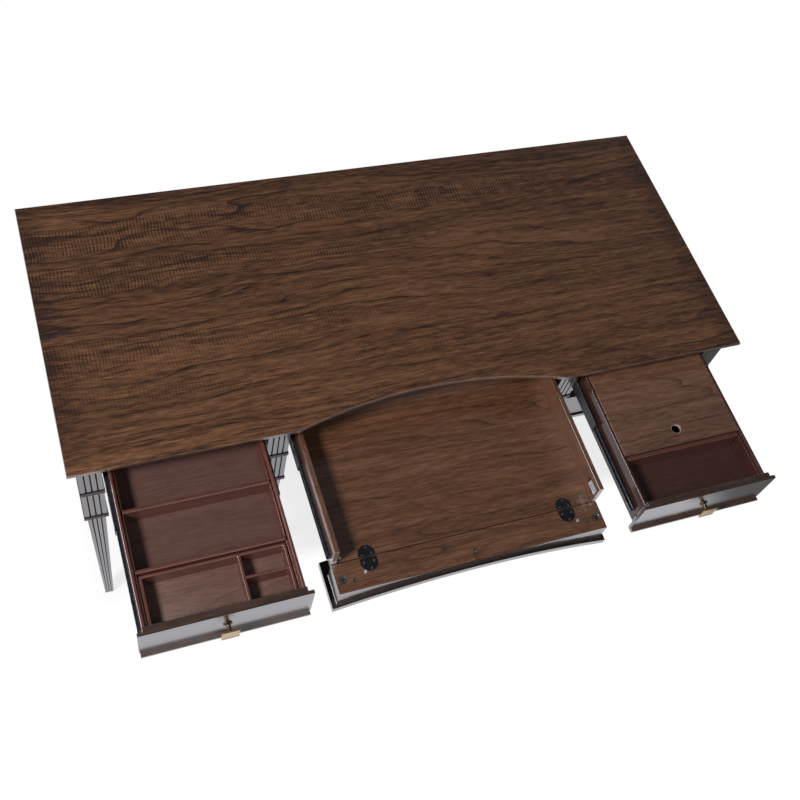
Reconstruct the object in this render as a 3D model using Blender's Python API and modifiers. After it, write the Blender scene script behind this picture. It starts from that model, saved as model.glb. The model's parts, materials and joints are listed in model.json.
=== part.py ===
"""A kneehole computer desk on fluted, tapered legs, with its three drawers pulled out.

Units are metres, +X right, +Y back, +Z up, and the desk stands on z = 0.  The middle drawer is
a keyboard drawer whose concave front drops open on two hinges.  Every drawer rides on a pair of
three-piece telescopic slides.
"""
import math

import bmesh
import bpy
from mathutils import Matrix

# Desk top
top_length = 1.6256
top_depth = 0.7112
top_height = 0.768
top_thickness = 0.015
top_edge_step = 0.0035          # how far the lower layer of the edge is set in
top_edge_layer = 0.0055         # height of that lower layer
top_edge_round = 0.002
curve_half_width = 0.325        # half of the concave stretch of the front edge
curve_depth = 0.048
curve_steps = 24

# Clearances
gap = 0.0003                    # between pieces that touch
weld = 0.00001
overrun = 0.002                 # how far a cutter passes the face it cuts

# Legs
leg_size = 0.050
leg_setback_side = 0.020        # top's end to the outer leg
leg_setback_front = 0.023       # top's edge to the leg, front and back
inner_leg_x = 0.361             # centre of the legs beside the kneehole
band_height = 0.012
band_proud = 0.002
upper_band_drop = 0.127         # top's underside to the band's middle
lower_band_drop = 0.247
shoulder_size = 0.041           # top of the taper
foot_size = 0.021
flutes = 3                      # on each face
flute_width = 0.0035
flute_depth = 0.0028
band_seat_share = 0.3           # how deep a block is sunk into its band, of the band's height

# Aprons and rails
apron_thickness = 0.020
apron_setback = 0.015           # leg face to apron face
apron_play = 0.001              # upper bands to the aprons' lower edges
panel_margin = 0.005            # runner strip to the lower edge of the panels beside the kneehole
rail_height = 0.0175
rail_width = 0.030
rail_setback = 0.010            # leg face to rail face
rail_lap = 0.036                # how far the rail runs into the outer legs
runner_margin = 0.003           # height of a runner strip past its slide
runner_proud = 0.002            # strips beside the kneehole, past the legs' faces
lower_rail_height = 0.108
lower_rail_thickness = 0.020
lower_rail_setback = 0.002

# Telescopic slides
slide_height = 0.035
slide_inner_height = 0.017      # height of the drawer member
slide_space = 0.0128            # drawer side to case wall
slide_steel = 0.0013
slide_play = 0.0005             # between one member and the next
slide_web_play = 0.0012         # between the webs of the two outer members
slide_lag = 0.036               # middle member's end behind the drawer member's, when shut

# Drawer fronts
front_height = 0.1107
front_head_play = 0.0025        # front to the rail above it
front_play = 0.0008             # front to the legs and to their bands
lip_thickness = 0.008           # outer, wider layer of a side drawer's front
front_core = 0.010              # inner layer, as wide as the box
ledge_height = 0.010
ledge_reach = 0.009
ledge_flat_share = 0.45         # upright part of the ledge, of its height
ledge_steps = 4

# Side drawers
side_hold = 0.026               # slide's length less how far they stand open
box_length = 0.434              # face to back
box_side = 0.012
box_height = 0.085              # height of the box's sides
box_drop = 0.0147               # front's top to the sides' top
box_rabbet_width = 0.006
box_rabbet_depth = 0.0067
box_floor_rise = 0.033          # lower edge of the sides to the upper face of the bottom board
box_board = 0.006               # its thickness
groove_depth = 0.005
slide_rise = 0.035              # lower edge of every drawer's sides to the slide's middle
side_slide_start = 0.031        # face to the slide's end
side_slide_end = 0.003          # slide's other end to the back
dado_depth = 0.003
divider_thickness = 0.009
divider_play = 0.0006
rear_divider_y = 0.276          # face to the divider's middle
front_divider_y = 0.140
cover_divider_thickness = 0.012

# Pencil tray
tray_play = 0.002
tray_play_back = 0.005
tray_wall = 0.0065
tray_floor = 0.006
tray_large_cell = 0.193
tray_rear_cell = 0.045

# Sliding cover of the right drawer
cover_front_y = 0.144
cover_play = 0.001
cover_hole_radius = 0.0125
cover_hole_y = 0.184
cover_hole_steps = 24

# Pulls
pull_reach = 0.026              # face to the front of the plate
pull_plate = 0.037
pull_plate_thickness = 0.0032
pull_plate_bevel = 0.0006
rosette_radius = 0.0095
rosette_height = 0.0045
neck_radius = 0.0038
collar_radius = 0.0065
pull_steps = 20

# Keyboard drawer
centre_hold = 0.0276            # slide's length less how far it stands open
centre_side = 0.012
centre_side_round = 0.0025      # of the upper edges of its sides
centre_round_steps = 3
centre_floor_rise = 0.0197      # lower edge of the sides to the upper face of the bottom board
centre_board = 0.007
centre_slide_start = 0.012      # seam to the slide's end
centre_slide_end = 0.016        # slide's other end to the back

# Drop front
core_half_width = 0.322
core_thin = 0.0065              # thickness of the core at the middle
core_curve_depth = 0.0415
facing_thickness = 0.017
facing_overhang = 0.0096        # past the core, at the top
cove_size = 0.006               # radius of the hollow between the core's edges and the facing
cove_steps = 4
cove_seat = 0.002               # how deep its layer is sunk into the facing
seam_play = 0.0005
front_steps = 16
peg_bore_radius = 0.005         # three bores in the back of the core
peg_bore_depth = 0.008
peg_bore_x = 0.2805
peg_bore_rise = 0.045           # seam to their middle
strike_seat_radius = 0.010      # seats of the catches' strikes
strike_seat_depth = 0.0015
strike_x = 0.306
strike_rise = 0.038
bore_steps = 20

# Hinges of the drop front
hinge_x = 0.240
hinge_width = 0.038
fixed_leaf_length = 0.0265       # seam to the round end
moving_leaf_length = 0.0335
hinge_plate = 0.0015
barrel_radius = 0.0021
barrel_length = 0.008
pin_radius = 0.0010
pin_play = 0.0002
hinge_steps = 12

# Places worked out from the sizes above
top_underside = top_height - top_thickness
leg_top = top_underside - gap
upper_band_z = top_underside - upper_band_drop
lower_band_z = top_underside - lower_band_drop
outer_leg_x = top_length / 2 - leg_setback_side - leg_size / 2
front_leg_y = -top_depth / 2 + leg_setback_front + leg_size / 2
rear_leg_y = -front_leg_y
leg_front = front_leg_y - leg_size / 2
outer_wall = outer_leg_x - leg_size / 2
inner_wall = inner_leg_x + leg_size / 2
knee_wall = inner_leg_x - leg_size / 2
bay_width = outer_wall - inner_wall
bay_x = (outer_wall + inner_wall) / 2
rail_bottom = leg_top - rail_height
apron_bottom = upper_band_z + band_height / 2 + apron_play
front_top = rail_bottom - front_head_play
front_bottom = front_top - front_height
side_front_width = bay_width - 2 * (band_proud + front_play)
box_width = bay_width - 2 * slide_space
box_inside = box_width - 2 * box_side
box_back_y = box_length - box_side
ledge_top = front_bottom + ledge_height
pull_z = (ledge_top + front_top) / 2
front_back_y = lip_thickness + front_core
box_top = front_top - box_drop
box_bottom = box_top - box_height
box_floor = box_bottom + box_floor_rise
slide_z = box_bottom + slide_rise
slide_length = box_length - side_slide_start - side_slide_end
side_pull_out = slide_length - side_hold
side_rest_y = leg_front - side_pull_out
facing_half_width = knee_wall - band_proud - front_play
runner_wall = knee_wall - runner_proud
centre_half_width = runner_wall - slide_space
centre_floor = box_bottom + centre_floor_rise
centre_length = centre_slide_start + slide_length + centre_slide_end
centre_pull_out = slide_length - centre_hold
panel_bottom = box_bottom - runner_margin - panel_margin
hinge_rise = barrel_radius + gap
hinge_z = centre_floor + hinge_rise
core_radius = (core_half_width ** 2 + core_curve_depth ** 2) / (2 * core_curve_depth)


def core_depth(x):
    """Thickness of the drop front's core at x, least at the middle."""
    return core_thin + core_radius - math.sqrt(core_radius ** 2 - x ** 2)


facing_reach = core_depth(facing_half_width) + cove_size + facing_thickness
centre_shut_y = leg_front + facing_reach + hinge_rise
centre_rest_y = centre_shut_y - centre_pull_out
stand_y = (pull_reach + gap - side_rest_y - top_depth / 2) / 2

for old in list(bpy.data.objects):
    bpy.data.objects.remove(old, do_unlink=True)

parts = bpy.data.collections.new("computer_desk")
cutters = bpy.data.collections.new("cutters")
bpy.context.scene.collection.children.link(parts)
bpy.context.scene.collection.children.link(cutters)


def make_material(name, color, roughness, metallic=0.0):
    material = bpy.data.materials.new(name)
    material.use_nodes = True
    shader = material.node_tree.nodes["Principled BSDF"]
    shader.inputs["Base Color"].default_value = (*color, 1.0)
    shader.inputs["Roughness"].default_value = roughness
    shader.inputs["Metallic"].default_value = metallic
    material.diffuse_color = (*color, 1.0)
    return material


walnut = make_material("dark_walnut", (0.075, 0.036, 0.020), 0.35)
stained = make_material("stained_drawer_wood", (0.095, 0.032, 0.022), 0.40)
interior = make_material("compartment_wood", (0.150, 0.080, 0.060), 0.50)
black_steel = make_material("black_steel", (0.012, 0.012, 0.014), 0.30, 0.8)
bronze = make_material("aged_bronze", (0.085, 0.060, 0.040), 0.40, 0.9)


def make_empty(name, parent, place, turn=0.0):
    empty = bpy.data.objects.new(name, None)
    empty.location = place
    empty.rotation_euler.x = turn
    empty.parent = parent
    parts.objects.link(empty)
    return empty


def make_part(name, mesh, material, parent, place=(0, 0, 0)):
    part = bpy.data.objects.new(name, mesh)
    part.location = place
    part.parent = parent
    mesh.materials.clear()
    mesh.materials.append(material)
    parts.objects.link(part)
    return part


def make_cutter(name, mesh, parent, place=(0, 0, 0)):
    cutter = bpy.data.objects.new(name, mesh)
    cutter.location = place
    cutter.parent = parent
    cutter.hide_render = True
    cutter.display_type = "WIRE"
    cutters.objects.link(cutter)
    return cutter


def shape_with(part, other, operation):
    modifier = part.modifiers.new(operation.lower(), "BOOLEAN")
    modifier.operation = operation
    modifier.solver = "EXACT"
    modifier.object = other


def block(low, high):
    """Mesh of a box between two corners."""
    bm = bmesh.new()
    bmesh.ops.create_cube(bm, size=1)
    size = [high[i] - low[i] for i in range(3)]
    middle = [(high[i] + low[i]) / 2 for i in range(3)]
    bmesh.ops.scale(bm, vec=size, verts=bm.verts)
    bmesh.ops.translate(bm, vec=middle, verts=bm.verts)
    return finish_mesh(bm, "block")


def finish_mesh(bm, name):
    bmesh.ops.recalc_face_normals(bm, faces=bm.faces)
    mesh = bpy.data.meshes.new(name)
    bm.to_mesh(mesh)
    bm.free()
    return mesh


def extrusion(outline, axis, low, high):
    """Mesh of a flat outline extruded from low to high.

    The outline is in (x, y) along Z, in (y, z) along X and in (x, z) along Y.
    """
    curve = bpy.data.curves.new("outline", "CURVE")
    curve.dimensions = "2D"
    curve.fill_mode = "BOTH"
    curve.extrude = (high - low) / 2
    spline = curve.splines.new("POLY")
    spline.points.add(len(outline) - 1)
    for point, (u, v) in zip(spline.points, outline):
        point.co = (u, v, 0, 1)
    spline.use_cyclic_u = True
    holder = bpy.data.objects.new("outline", curve)
    bpy.context.scene.collection.objects.link(holder)
    scene_state = bpy.context.evaluated_depsgraph_get()
    mesh = bpy.data.meshes.new_from_object(holder.evaluated_get(scene_state))
    bpy.data.objects.remove(holder)
    bm = bmesh.new()
    bm.from_mesh(mesh)
    bmesh.ops.remove_doubles(bm, verts=bm.verts, dist=weld)
    turned = {
        "Z": Matrix(((1, 0, 0), (0, 1, 0), (0, 0, 1))),
        "X": Matrix(((0, 0, 1), (1, 0, 0), (0, 1, 0))),
        "Y": Matrix(((1, 0, 0), (0, 0, -1), (0, 1, 0))),
    }[axis]
    middle = (low + high) / 2
    shift = {"Z": (0, 0, middle), "X": (middle, 0, 0), "Y": (0, middle, 0)}[axis]
    bmesh.ops.transform(bm, matrix=turned.to_4x4(), verts=bm.verts)
    bmesh.ops.translate(bm, vec=shift, verts=bm.verts)
    return finish_mesh(bm, "extrusion")


def cylinder(radius, low, high, axis, place, steps):
    """Mesh of a cylinder along axis from low to high, through a place on the other two axes."""
    turn, shift = {
        "X": (Matrix.Rotation(math.pi / 2, 3, "Y"), ((low + high) / 2, *place)),
        "Y": (Matrix.Rotation(math.pi / 2, 3, "X"), (place[0], (low + high) / 2, place[1])),
        "Z": (Matrix.Identity(3), (*place, (low + high) / 2)),
    }[axis]
    bm = bmesh.new()
    bmesh.ops.create_cone(bm, cap_ends=True, segments=steps, radius1=radius, radius2=radius,
                          depth=high - low)
    bmesh.ops.rotate(bm, matrix=turn, verts=bm.verts)
    bmesh.ops.translate(bm, vec=shift, verts=bm.verts)
    return finish_mesh(bm, "cylinder")


def arc_line(half_width, depth, steps):
    """Points of a shallow arc from -half_width to half_width, at 0 at its ends."""
    radius = (half_width ** 2 + depth ** 2) / (2 * depth)
    xs = [half_width * (2 * i / steps - 1) for i in range(steps + 1)]
    return [(x, math.sqrt(radius ** 2 - x ** 2) - radius + depth) for x in xs]


# Legs, with their bands and flutes


def fluted_square(width):
    """Outline of a square with V flutes in each side."""
    half = width / 2
    side = [(-half, -half)]
    for k in range(1, flutes + 1):
        middle = width * k / (flutes + 1) - half
        side.append((middle - flute_width / 2, -half))
        side.append((middle, -half + flute_depth))
        side.append((middle + flute_width / 2, -half))
    outline = []
    for _ in range(4):
        outline += side
        side = [(-y, x) for x, y in side]
    return outline


def band_block(z, grow):
    """Band of a leg around height z, grown by a clearance."""
    half_width = leg_size / 2 + band_proud + grow
    half_height = band_height / 2 + grow
    return block((-half_width, -half_width, z - half_height), (half_width, half_width, z + half_height))


def leg_shapes():
    """Meshes of one leg: its fluted lengths, then its two bands."""
    seat = band_height * band_seat_share
    half = band_height / 2
    upper = extrusion(fluted_square(leg_size), "Z", upper_band_z + half - seat, leg_top)
    lower = extrusion(fluted_square(leg_size), "Z", lower_band_z + half - seat,
                      upper_band_z - half + seat)
    taper_top = lower_band_z - half + seat
    taper = extrusion(fluted_square(shoulder_size), "Z", 0, taper_top)
    bm = bmesh.new()
    bm.from_mesh(taper)
    foot = [v for v in bm.verts if v.co.z < taper_top / 2]
    shrink = foot_size / shoulder_size
    bmesh.ops.scale(bm, vec=(shrink, shrink, 1), verts=foot)
    taper = finish_mesh(bm, "taper")
    return upper, [lower, taper, band_block(upper_band_z, 0), band_block(lower_band_z, 0)]


def rail_outline(grow):
    """Plan of the front rail, which follows the top's curve, grown by a clearance."""
    end_x = outer_wall + rail_lap + grow
    front = leg_front + rail_setback - grow
    back = front + rail_width + 2 * grow
    curve = arc_line(curve_half_width, curve_depth, curve_steps)
    outline = [(-end_x, front)]
    outline += [(x, front + y) for x, y in curve]
    outline += [(end_x, front), (end_x, back)]
    outline += [(x, back + y) for x, y in reversed(curve)]
    outline.append((-end_x, back))
    return outline


def make_legs(desk):
    upper, others = leg_shapes()
    rail_pocket = make_cutter("rail_pocket", extrusion(rail_outline(gap), "Z", rail_bottom - gap,
                                                       leg_top + overrun), desk)
    slot_low = (-inner_leg_x - leg_size, apron_y() - gap, apron_bottom - gap)
    slot_high = (inner_leg_x + leg_size, apron_y() + apron_thickness + gap, leg_top + overrun)
    apron_slot = make_cutter("apron_slot", block(slot_low, slot_high), desk)
    columns = {"outer_left": -outer_leg_x, "inner_left": -inner_leg_x,
               "inner_right": inner_leg_x, "outer_right": outer_leg_x}
    for row, y in (("front", front_leg_y), ("rear", rear_leg_y)):
        for column, x in columns.items():
            name = f"leg_{row}_{column}"
            leg = make_part(name, upper.copy(), walnut, desk, (x, y, 0))
            for number, mesh in enumerate(others):
                piece = make_cutter(f"{name}_piece_{number}", mesh, desk, (x, y, 0))
                shape_with(leg, piece, "UNION")
            if row == "front":
                shape_with(leg, rail_pocket, "DIFFERENCE")
            elif column.startswith("inner"):
                shape_with(leg, apron_slot, "DIFFERENCE")


# Top, rails and aprons


def top_outline(inset):
    half_length = top_length / 2 - inset
    front = -top_depth / 2 + inset
    back = top_depth / 2 - inset
    curve = arc_line(curve_half_width, curve_depth, curve_steps)
    outline = [(-half_length, front)]
    outline += [(x, front + y) for x, y in curve]
    outline += [(half_length, front), (half_length, back), (-half_length, back)]
    return outline


def make_top(desk):
    layer_top = top_underside + top_edge_layer
    slab = extrusion(top_outline(0), "Z", layer_top, top_height)
    bm = bmesh.new()
    bm.from_mesh(slab)
    rim = [e for e in bm.edges if len(e.link_faces) == 2 and is_top_rim(e)]
    bmesh.ops.bevel(bm, geom=rim, offset=top_edge_round, segments=2, affect="EDGES", profile=0.5)
    slab = finish_mesh(bm, "slab")
    top = make_part("desk_top", slab, walnut, desk)
    under = extrusion(top_outline(top_edge_step), "Z", top_underside,
                      layer_top + top_edge_round)
    shape_with(top, make_cutter("top_under_layer", under, desk), "UNION")


def is_top_rim(edge):
    level = all(abs(v.co.z - top_height) < weld for v in edge.verts)
    upright = any(abs(face.normal.z) < weld for face in edge.link_faces)
    return level and upright


def apron_y():
    return rear_leg_y + leg_size / 2 - apron_setback - apron_thickness


def make_frame(desk):
    rail = extrusion(rail_outline(0), "Z", rail_bottom, leg_top)
    make_part("front_rail", rail, walnut, desk)
    back_low = (-outer_wall + gap, apron_y(), apron_bottom)
    back_high = (outer_wall - gap, apron_y() + apron_thickness, leg_top)
    make_part("back_apron", block(back_low, back_high), walnut, desk)
    half_run = rear_leg_y - leg_size / 2 - gap
    face = outer_leg_x + leg_size / 2 - apron_setback
    strip_half = slide_height / 2 + runner_margin
    low, high = slide_z - strip_half, slide_z + strip_half
    for side, sign in (("left", -1), ("right", 1)):
        inside = face - apron_thickness
        outline = [(face, apron_bottom), (face, leg_top), (inside, leg_top), (inside, high),
                   (outer_wall, high), (outer_wall, low), (inside, low), (inside, apron_bottom)]
        outline = [(sign * x, z) for x, z in outline]
        end = extrusion(outline, "Y", -half_run, half_run)
        make_part(f"end_apron_{side}", end, walnut, desk)
        far = inner_wall - apron_thickness
        outline = [(inner_wall, panel_bottom), (inner_wall, leg_top), (far, leg_top),
                   (far, high), (runner_wall, high), (runner_wall, low), (far, low),
                   (far, panel_bottom)]
        outline = [(sign * x, z) for x, z in outline]
        panel = make_part(f"knee_panel_{side}", extrusion(outline, "Y", -half_run, half_run), walnut, desk)
        for row, y in (("front", front_leg_y), ("rear", rear_leg_y)):
            notch = make_cutter(f"band_notch_{side}_{row}", band_block(upper_band_z, gap), desk,
                                (sign * inner_leg_x, y, 0))
            shape_with(panel, notch, "DIFFERENCE")


def make_lower_rail(desk):
    """Plain rail of the right bay, with a strip along its foot that lines up with the bands."""
    front = leg_front + lower_rail_setback
    back = front + lower_rail_thickness
    strip_top = lower_band_z + band_height / 2
    strip_bottom = lower_band_z - band_height / 2
    board_low = (inner_wall + gap, front, strip_top + gap)
    board_high = (outer_wall - gap, back, strip_bottom + lower_rail_height)
    board = block(board_low, board_high)
    rail = make_part("right_lower_rail", board, walnut, desk)
    strip_low = (inner_wall + band_proud + gap, leg_front - band_proud, strip_bottom)
    strip_high = (outer_wall - band_proud - gap, back, strip_top + band_height * band_seat_share)
    strip = block(strip_low, (strip_high[0], strip_high[1], strip_top))
    core_low = (strip_low[0], front + lower_rail_setback, strip_bottom + overrun)
    core = block(core_low, (strip_high[0], back - overrun, strip_high[2]))
    shape_with(rail, make_cutter("lower_rail_core", core, desk), "UNION")
    shape_with(rail, make_cutter("lower_rail_strip", strip, desk), "UNION")


# Telescopic slides


def channel(near, tip, height, web_at_wall):
    """Section of a slide member, in distance from the case wall and height from its middle."""
    half = height / 2
    web, open_end = (near, tip) if web_at_wall else (tip, near)
    inward = slide_steel if web_at_wall else -slide_steel
    return [(web, -half), (open_end, -half), (open_end, slide_steel - half),
            (web + inward, slide_steel - half), (web + inward, half - slide_steel),
            (open_end, half - slide_steel), (open_end, half), (web, half)]


def slide_sections():
    drawer_face = slide_space - gap
    tip = drawer_face - slide_steel - slide_play
    middle_web = gap + slide_steel + slide_web_play
    middle_height = slide_height - 2 * (slide_steel + slide_play)
    inner_near = middle_web + slide_steel + slide_play
    return {
        "case": channel(gap, tip, slide_height, True),
        "middle": channel(middle_web, tip, middle_height, True),
        "drawer": channel(inner_near, drawer_face, slide_inner_height, False),
    }


def make_slides(name, walls, z, start_shut, pull_out, desk, middle, drawer):
    """Both slides of one drawer: the case member, the middle member and the drawer member.

    walls is ((side, wall x, way into the opening), ...), measured from the desk's middle.
    """
    sections = slide_sections()
    for side, wall, way in walls:
        for kind, outline in sections.items():
            section = [(wall + way * d, z + h) for d, h in outline]
            if kind == "case":
                owner, start, end = desk, start_shut, start_shut + slide_length
            elif kind == "middle":
                start = start_shut + slide_lag - pull_out / 2
                owner, end = middle, start + slide_length - slide_lag
            else:
                owner, start = drawer, start_shut - pull_out
                end = start + slide_length
            section = [(x - owner["x"], h) for x, h in section]
            mesh = extrusion(section, "Y", start - owner["y"], end - owner["y"])
            make_part(f"{name}_slide_{side}_{kind}", mesh, black_steel, owner["empty"])


# Side drawers


def make_pull(name, drawer, front_y):
    """Turned post with a rosette at its foot and a square plate on its end."""
    plate_back = pull_reach - pull_plate_thickness
    profile_shares = [(0.55, 1.00), (0.55, 0.86), (1.00, 0.80), (1.00, 0.70), (0.58, 0.62)]
    neck = [(collar_radius * r, plate_back * h) for r, h in profile_shares]
    foot_shares = [(0.42, 1.35), (0.62, 1.05), (0.95, 0.85), (1.00, 0.45), (0.92, 0.00)]
    foot = [(rosette_radius * r, rosette_height * h) for r, h in foot_shares]
    profile = [(0, pull_reach - pull_plate_thickness / 2),
               (neck[0][0], pull_reach - pull_plate_thickness / 2)]
    profile += neck + [(neck_radius, plate_back * 0.5)] + foot
    profile.append((0, 0))
    mesh = bpy.data.meshes.new("pull_profile")
    mesh.from_pydata([(r, 0, h) for r, h in profile],
                     [(i, i + 1) for i in range(len(profile) - 1)], [])
    pull = make_part(name, mesh, bronze, drawer, (0, front_y - gap, pull_z))
    pull.rotation_euler.x = math.pi / 2
    turn = pull.modifiers.new("turn", "SCREW")
    turn.steps = pull_steps
    turn.render_steps = pull_steps
    turn.use_merge_vertices = True
    turn.merge_threshold = weld
    turn.use_normal_calculate = True
    half = pull_plate / 2
    plate = make_cutter(f"{name}_plate", block((-half, -half, plate_back), (half, half, pull_reach)),
                        drawer, (0, front_y - gap, pull_z))
    plate.rotation_euler.x = math.pi / 2
    soften = plate.modifiers.new("soften", "BEVEL")
    soften.width = pull_plate_bevel
    soften.segments = 1
    shape_with(pull, plate, "UNION")


def make_side_front(name, drawer):
    """Drawer front: a face plate, a ledge along its foot, and a core as wide as the box.

    The ledge is shorter than the plate, as it passes between the legs' bands.
    """
    cove = []
    flat = ledge_height * ledge_flat_share
    drop = ledge_height - flat
    for i in range(ledge_steps + 1):
        turn = math.pi / 2 * i / ledge_steps
        cove.append((-ledge_reach + drop * (1 - math.cos(turn)), ledge_top - flat - drop * math.sin(turn)))
    outline = [(0, front_top), (0, ledge_top), (-ledge_reach, ledge_top), *cove,
               (lip_thickness, front_bottom), (lip_thickness, front_top)]
    half = side_front_width / 2
    front = make_part(f"{name}_front", extrusion(outline, "X", -half, half), walnut, drawer)
    wide = bay_width / 2 - front_play
    plate = block((-wide, 0, ledge_top + front_play), (wide, lip_thickness, front_top))
    shape_with(front, make_cutter(f"{name}_front_plate", plate, drawer), "UNION")
    groove_low = box_floor - box_board - gap
    groove_high = box_floor + gap
    groove_y = front_back_y - groove_depth
    sunk = lip_thickness / 2
    outline = [(sunk, ledge_top), (sunk, front_top - overrun / 2), (lip_thickness, front_top - overrun / 2),
               (lip_thickness, front_top), (front_back_y, front_top), (front_back_y, groove_high),
               (groove_y, groove_high), (groove_y, groove_low), (front_back_y, groove_low),
               (front_back_y, ledge_top)]
    core = extrusion(outline, "X", -box_width / 2, box_width / 2)
    shape_with(front, make_cutter(f"{name}_front_core", core, drawer), "UNION")


def make_box_sides(name, drawer, dividers):
    """Drawer sides, with a rabbet along the inner top edge, a groove for the bottom and dadoes."""
    outer = box_width / 2
    inner = outer - box_side
    ledge = box_top - box_rabbet_depth
    groove_low = box_floor - box_board - gap
    groove_high = box_floor + gap
    outline = [(outer, box_bottom), (outer, box_top), (inner + box_rabbet_width, box_top),
               (inner + box_rabbet_width, ledge), (inner, ledge), (inner, groove_high),
               (inner + groove_depth, groove_high), (inner + groove_depth, groove_low),
               (inner, groove_low), (inner, box_bottom)]
    for side, sign in (("left", -1), ("right", 1)):
        mirrored = [(sign * x, z) for x, z in outline]
        mesh = extrusion(mirrored, "Y", front_back_y + gap, box_length)
        part = make_part(f"{name}_side_{side}", mesh, stained, drawer)
        for y, thickness in dividers:
            low = y - thickness / 2 - divider_play / 2
            high = y + thickness / 2 + divider_play / 2
            near, far = sign * (inner - overrun), sign * (inner + dado_depth)
            dado = block((min(near, far), low, box_floor + gap), (max(near, far), high, box_top + overrun))
            shape_with(part, make_cutter(f"{name}_dado_{side}", dado, drawer), "DIFFERENCE")


def make_box(name, drawer, dividers):
    make_side_front(name, drawer)
    make_box_sides(name, drawer, [(y, thickness) for _, y, thickness in dividers])
    half = box_inside / 2 - gap
    ledge = box_top - box_rabbet_depth
    back = block((-half, box_back_y, box_floor + gap), (half, box_length, ledge))
    make_part(f"{name}_back", back, stained, drawer)
    reach = box_inside / 2 + groove_depth - gap
    board_low = (-reach, front_back_y - groove_depth + gap, box_floor - box_board)
    make_part(f"{name}_bottom", block(board_low, (reach, box_length, box_floor)), interior, drawer)
    wide = box_inside / 2 + dado_depth - gap
    for title, y, thickness in dividers:
        board = block((-wide, y - thickness / 2, box_floor + 2 * gap), (wide, y + thickness / 2, ledge))
        make_part(f"{name}_{title}", board, stained, drawer)


def make_tray(name, drawer):
    """Pencil tray of the left drawer: one large cell and two small ones."""
    half = box_inside / 2 - tray_play
    low_y = front_back_y + tray_play
    high_y = front_divider_y - divider_thickness / 2 - tray_play_back
    base = box_floor + gap
    rim = box_top - box_rabbet_depth
    tray = make_part(name, block((-half, low_y, base), (half, high_y, rim)), stained, drawer)
    left = -half + tray_wall
    split = left + tray_large_cell
    rear = high_y - tray_wall
    cross = rear - tray_rear_cell
    cells = [((left, low_y + tray_wall), (split, rear)),
             ((split + tray_wall, cross), (half - tray_wall, rear)),
             ((split + tray_wall, low_y + tray_wall), (half - tray_wall, cross - tray_wall))]
    for number, ((x0, y0), (x1, y1)) in enumerate(cells):
        cell = block((x0, y0, base + tray_floor), (x1, y1, rim + overrun))
        shape_with(tray, make_cutter(f"tray_cell_{number}", cell, drawer), "DIFFERENCE")


def make_cover(drawer):
    """Sliding cover of the right drawer, on the sides' rabbets, with a finger hole."""
    half = box_inside / 2 + box_rabbet_width - cover_play
    low = (-half, cover_front_y, box_top - box_rabbet_depth + gap)
    cover = make_part("right_drawer_cover", block(low, (half, box_length, box_top)), walnut, drawer)
    hole = cylinder(cover_hole_radius, low[2] - overrun, box_top + overrun, "Z", (0, cover_hole_y),
                    cover_hole_steps)
    shape_with(cover, make_cutter("cover_hole", hole, drawer), "DIFFERENCE")


def make_side_drawer(name, bay_sign, desk, dividers):
    x = bay_sign * bay_x
    empty = make_empty(name, desk["empty"], (x, side_rest_y, 0))
    middle = make_empty(f"{name}_slide_middle", desk["empty"], (x, leg_front - side_pull_out / 2, 0))
    make_box(name, empty, dividers)
    make_pull(f"{name}_pull", empty, 0)
    walls = (("left", x - bay_width / 2, 1), ("right", x + bay_width / 2, -1))
    make_slides(name, walls, slide_z, leg_front + side_slide_start, side_pull_out, desk,
                {"empty": middle, "x": x, "y": leg_front - side_pull_out / 2},
                {"empty": empty, "x": x, "y": side_rest_y})
    return empty


# Keyboard drawer


def rounded_top(inner, outer):
    """Upper edges of a side, from its outer face over to its inner face."""
    turns = [math.pi / 2 * i / centre_round_steps for i in range(centre_round_steps + 1)]
    edge = [(outer - centre_side_round * (1 - math.cos(turn)),
             box_top - centre_side_round * (1 - math.sin(turn))) for turn in turns]
    return edge + [(outer + inner - x, z) for x, z in reversed(edge)]


def make_centre_box(drawer):
    """Open-fronted drawer box; y is measured from the seam of the drop front."""
    outer = centre_half_width
    inner = outer - centre_side
    groove_low = centre_floor - centre_board - gap
    groove_high = centre_floor + gap
    start = seam_play
    outline = [(outer, box_bottom), *rounded_top(inner, outer),
               (inner, groove_high), (inner + groove_depth, groove_high),
               (inner + groove_depth, groove_low), (inner, groove_low), (inner, box_bottom)]
    for side, sign in (("left", -1), ("right", 1)):
        mesh = extrusion([(sign * x, z) for x, z in outline], "Y", start, centre_length)
        make_part(f"centre_drawer_side_{side}", mesh, walnut, drawer)
    half = inner - gap
    back = block((-half, centre_length - centre_side, centre_floor + gap),
                 (half, centre_length, box_top - centre_side_round))
    make_part("centre_drawer_back", back, walnut, drawer)
    reach = inner + groove_depth - gap
    board = block((-reach, start, centre_floor - centre_board), (reach, centre_length, centre_floor))
    make_part("centre_drawer_bottom", board, walnut, drawer)


def front_line(half_width, deep):
    """Line in plan, so far in front of the core's curved face, with straight ends at half_width."""
    xs = [core_half_width * (2 * i / front_steps - 1) for i in range(front_steps + 1)]
    line = [(x, -hinge_rise - core_depth(x) - deep) for x in xs]
    for tip, inner, x in ((0, 1, -half_width), (-1, -2, half_width)):
        slope = (line[tip][1] - line[inner][1]) / (line[tip][0] - line[inner][0])
        line[tip] = (x, line[inner][1] + slope * (x - line[inner][0]))
    return line


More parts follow.
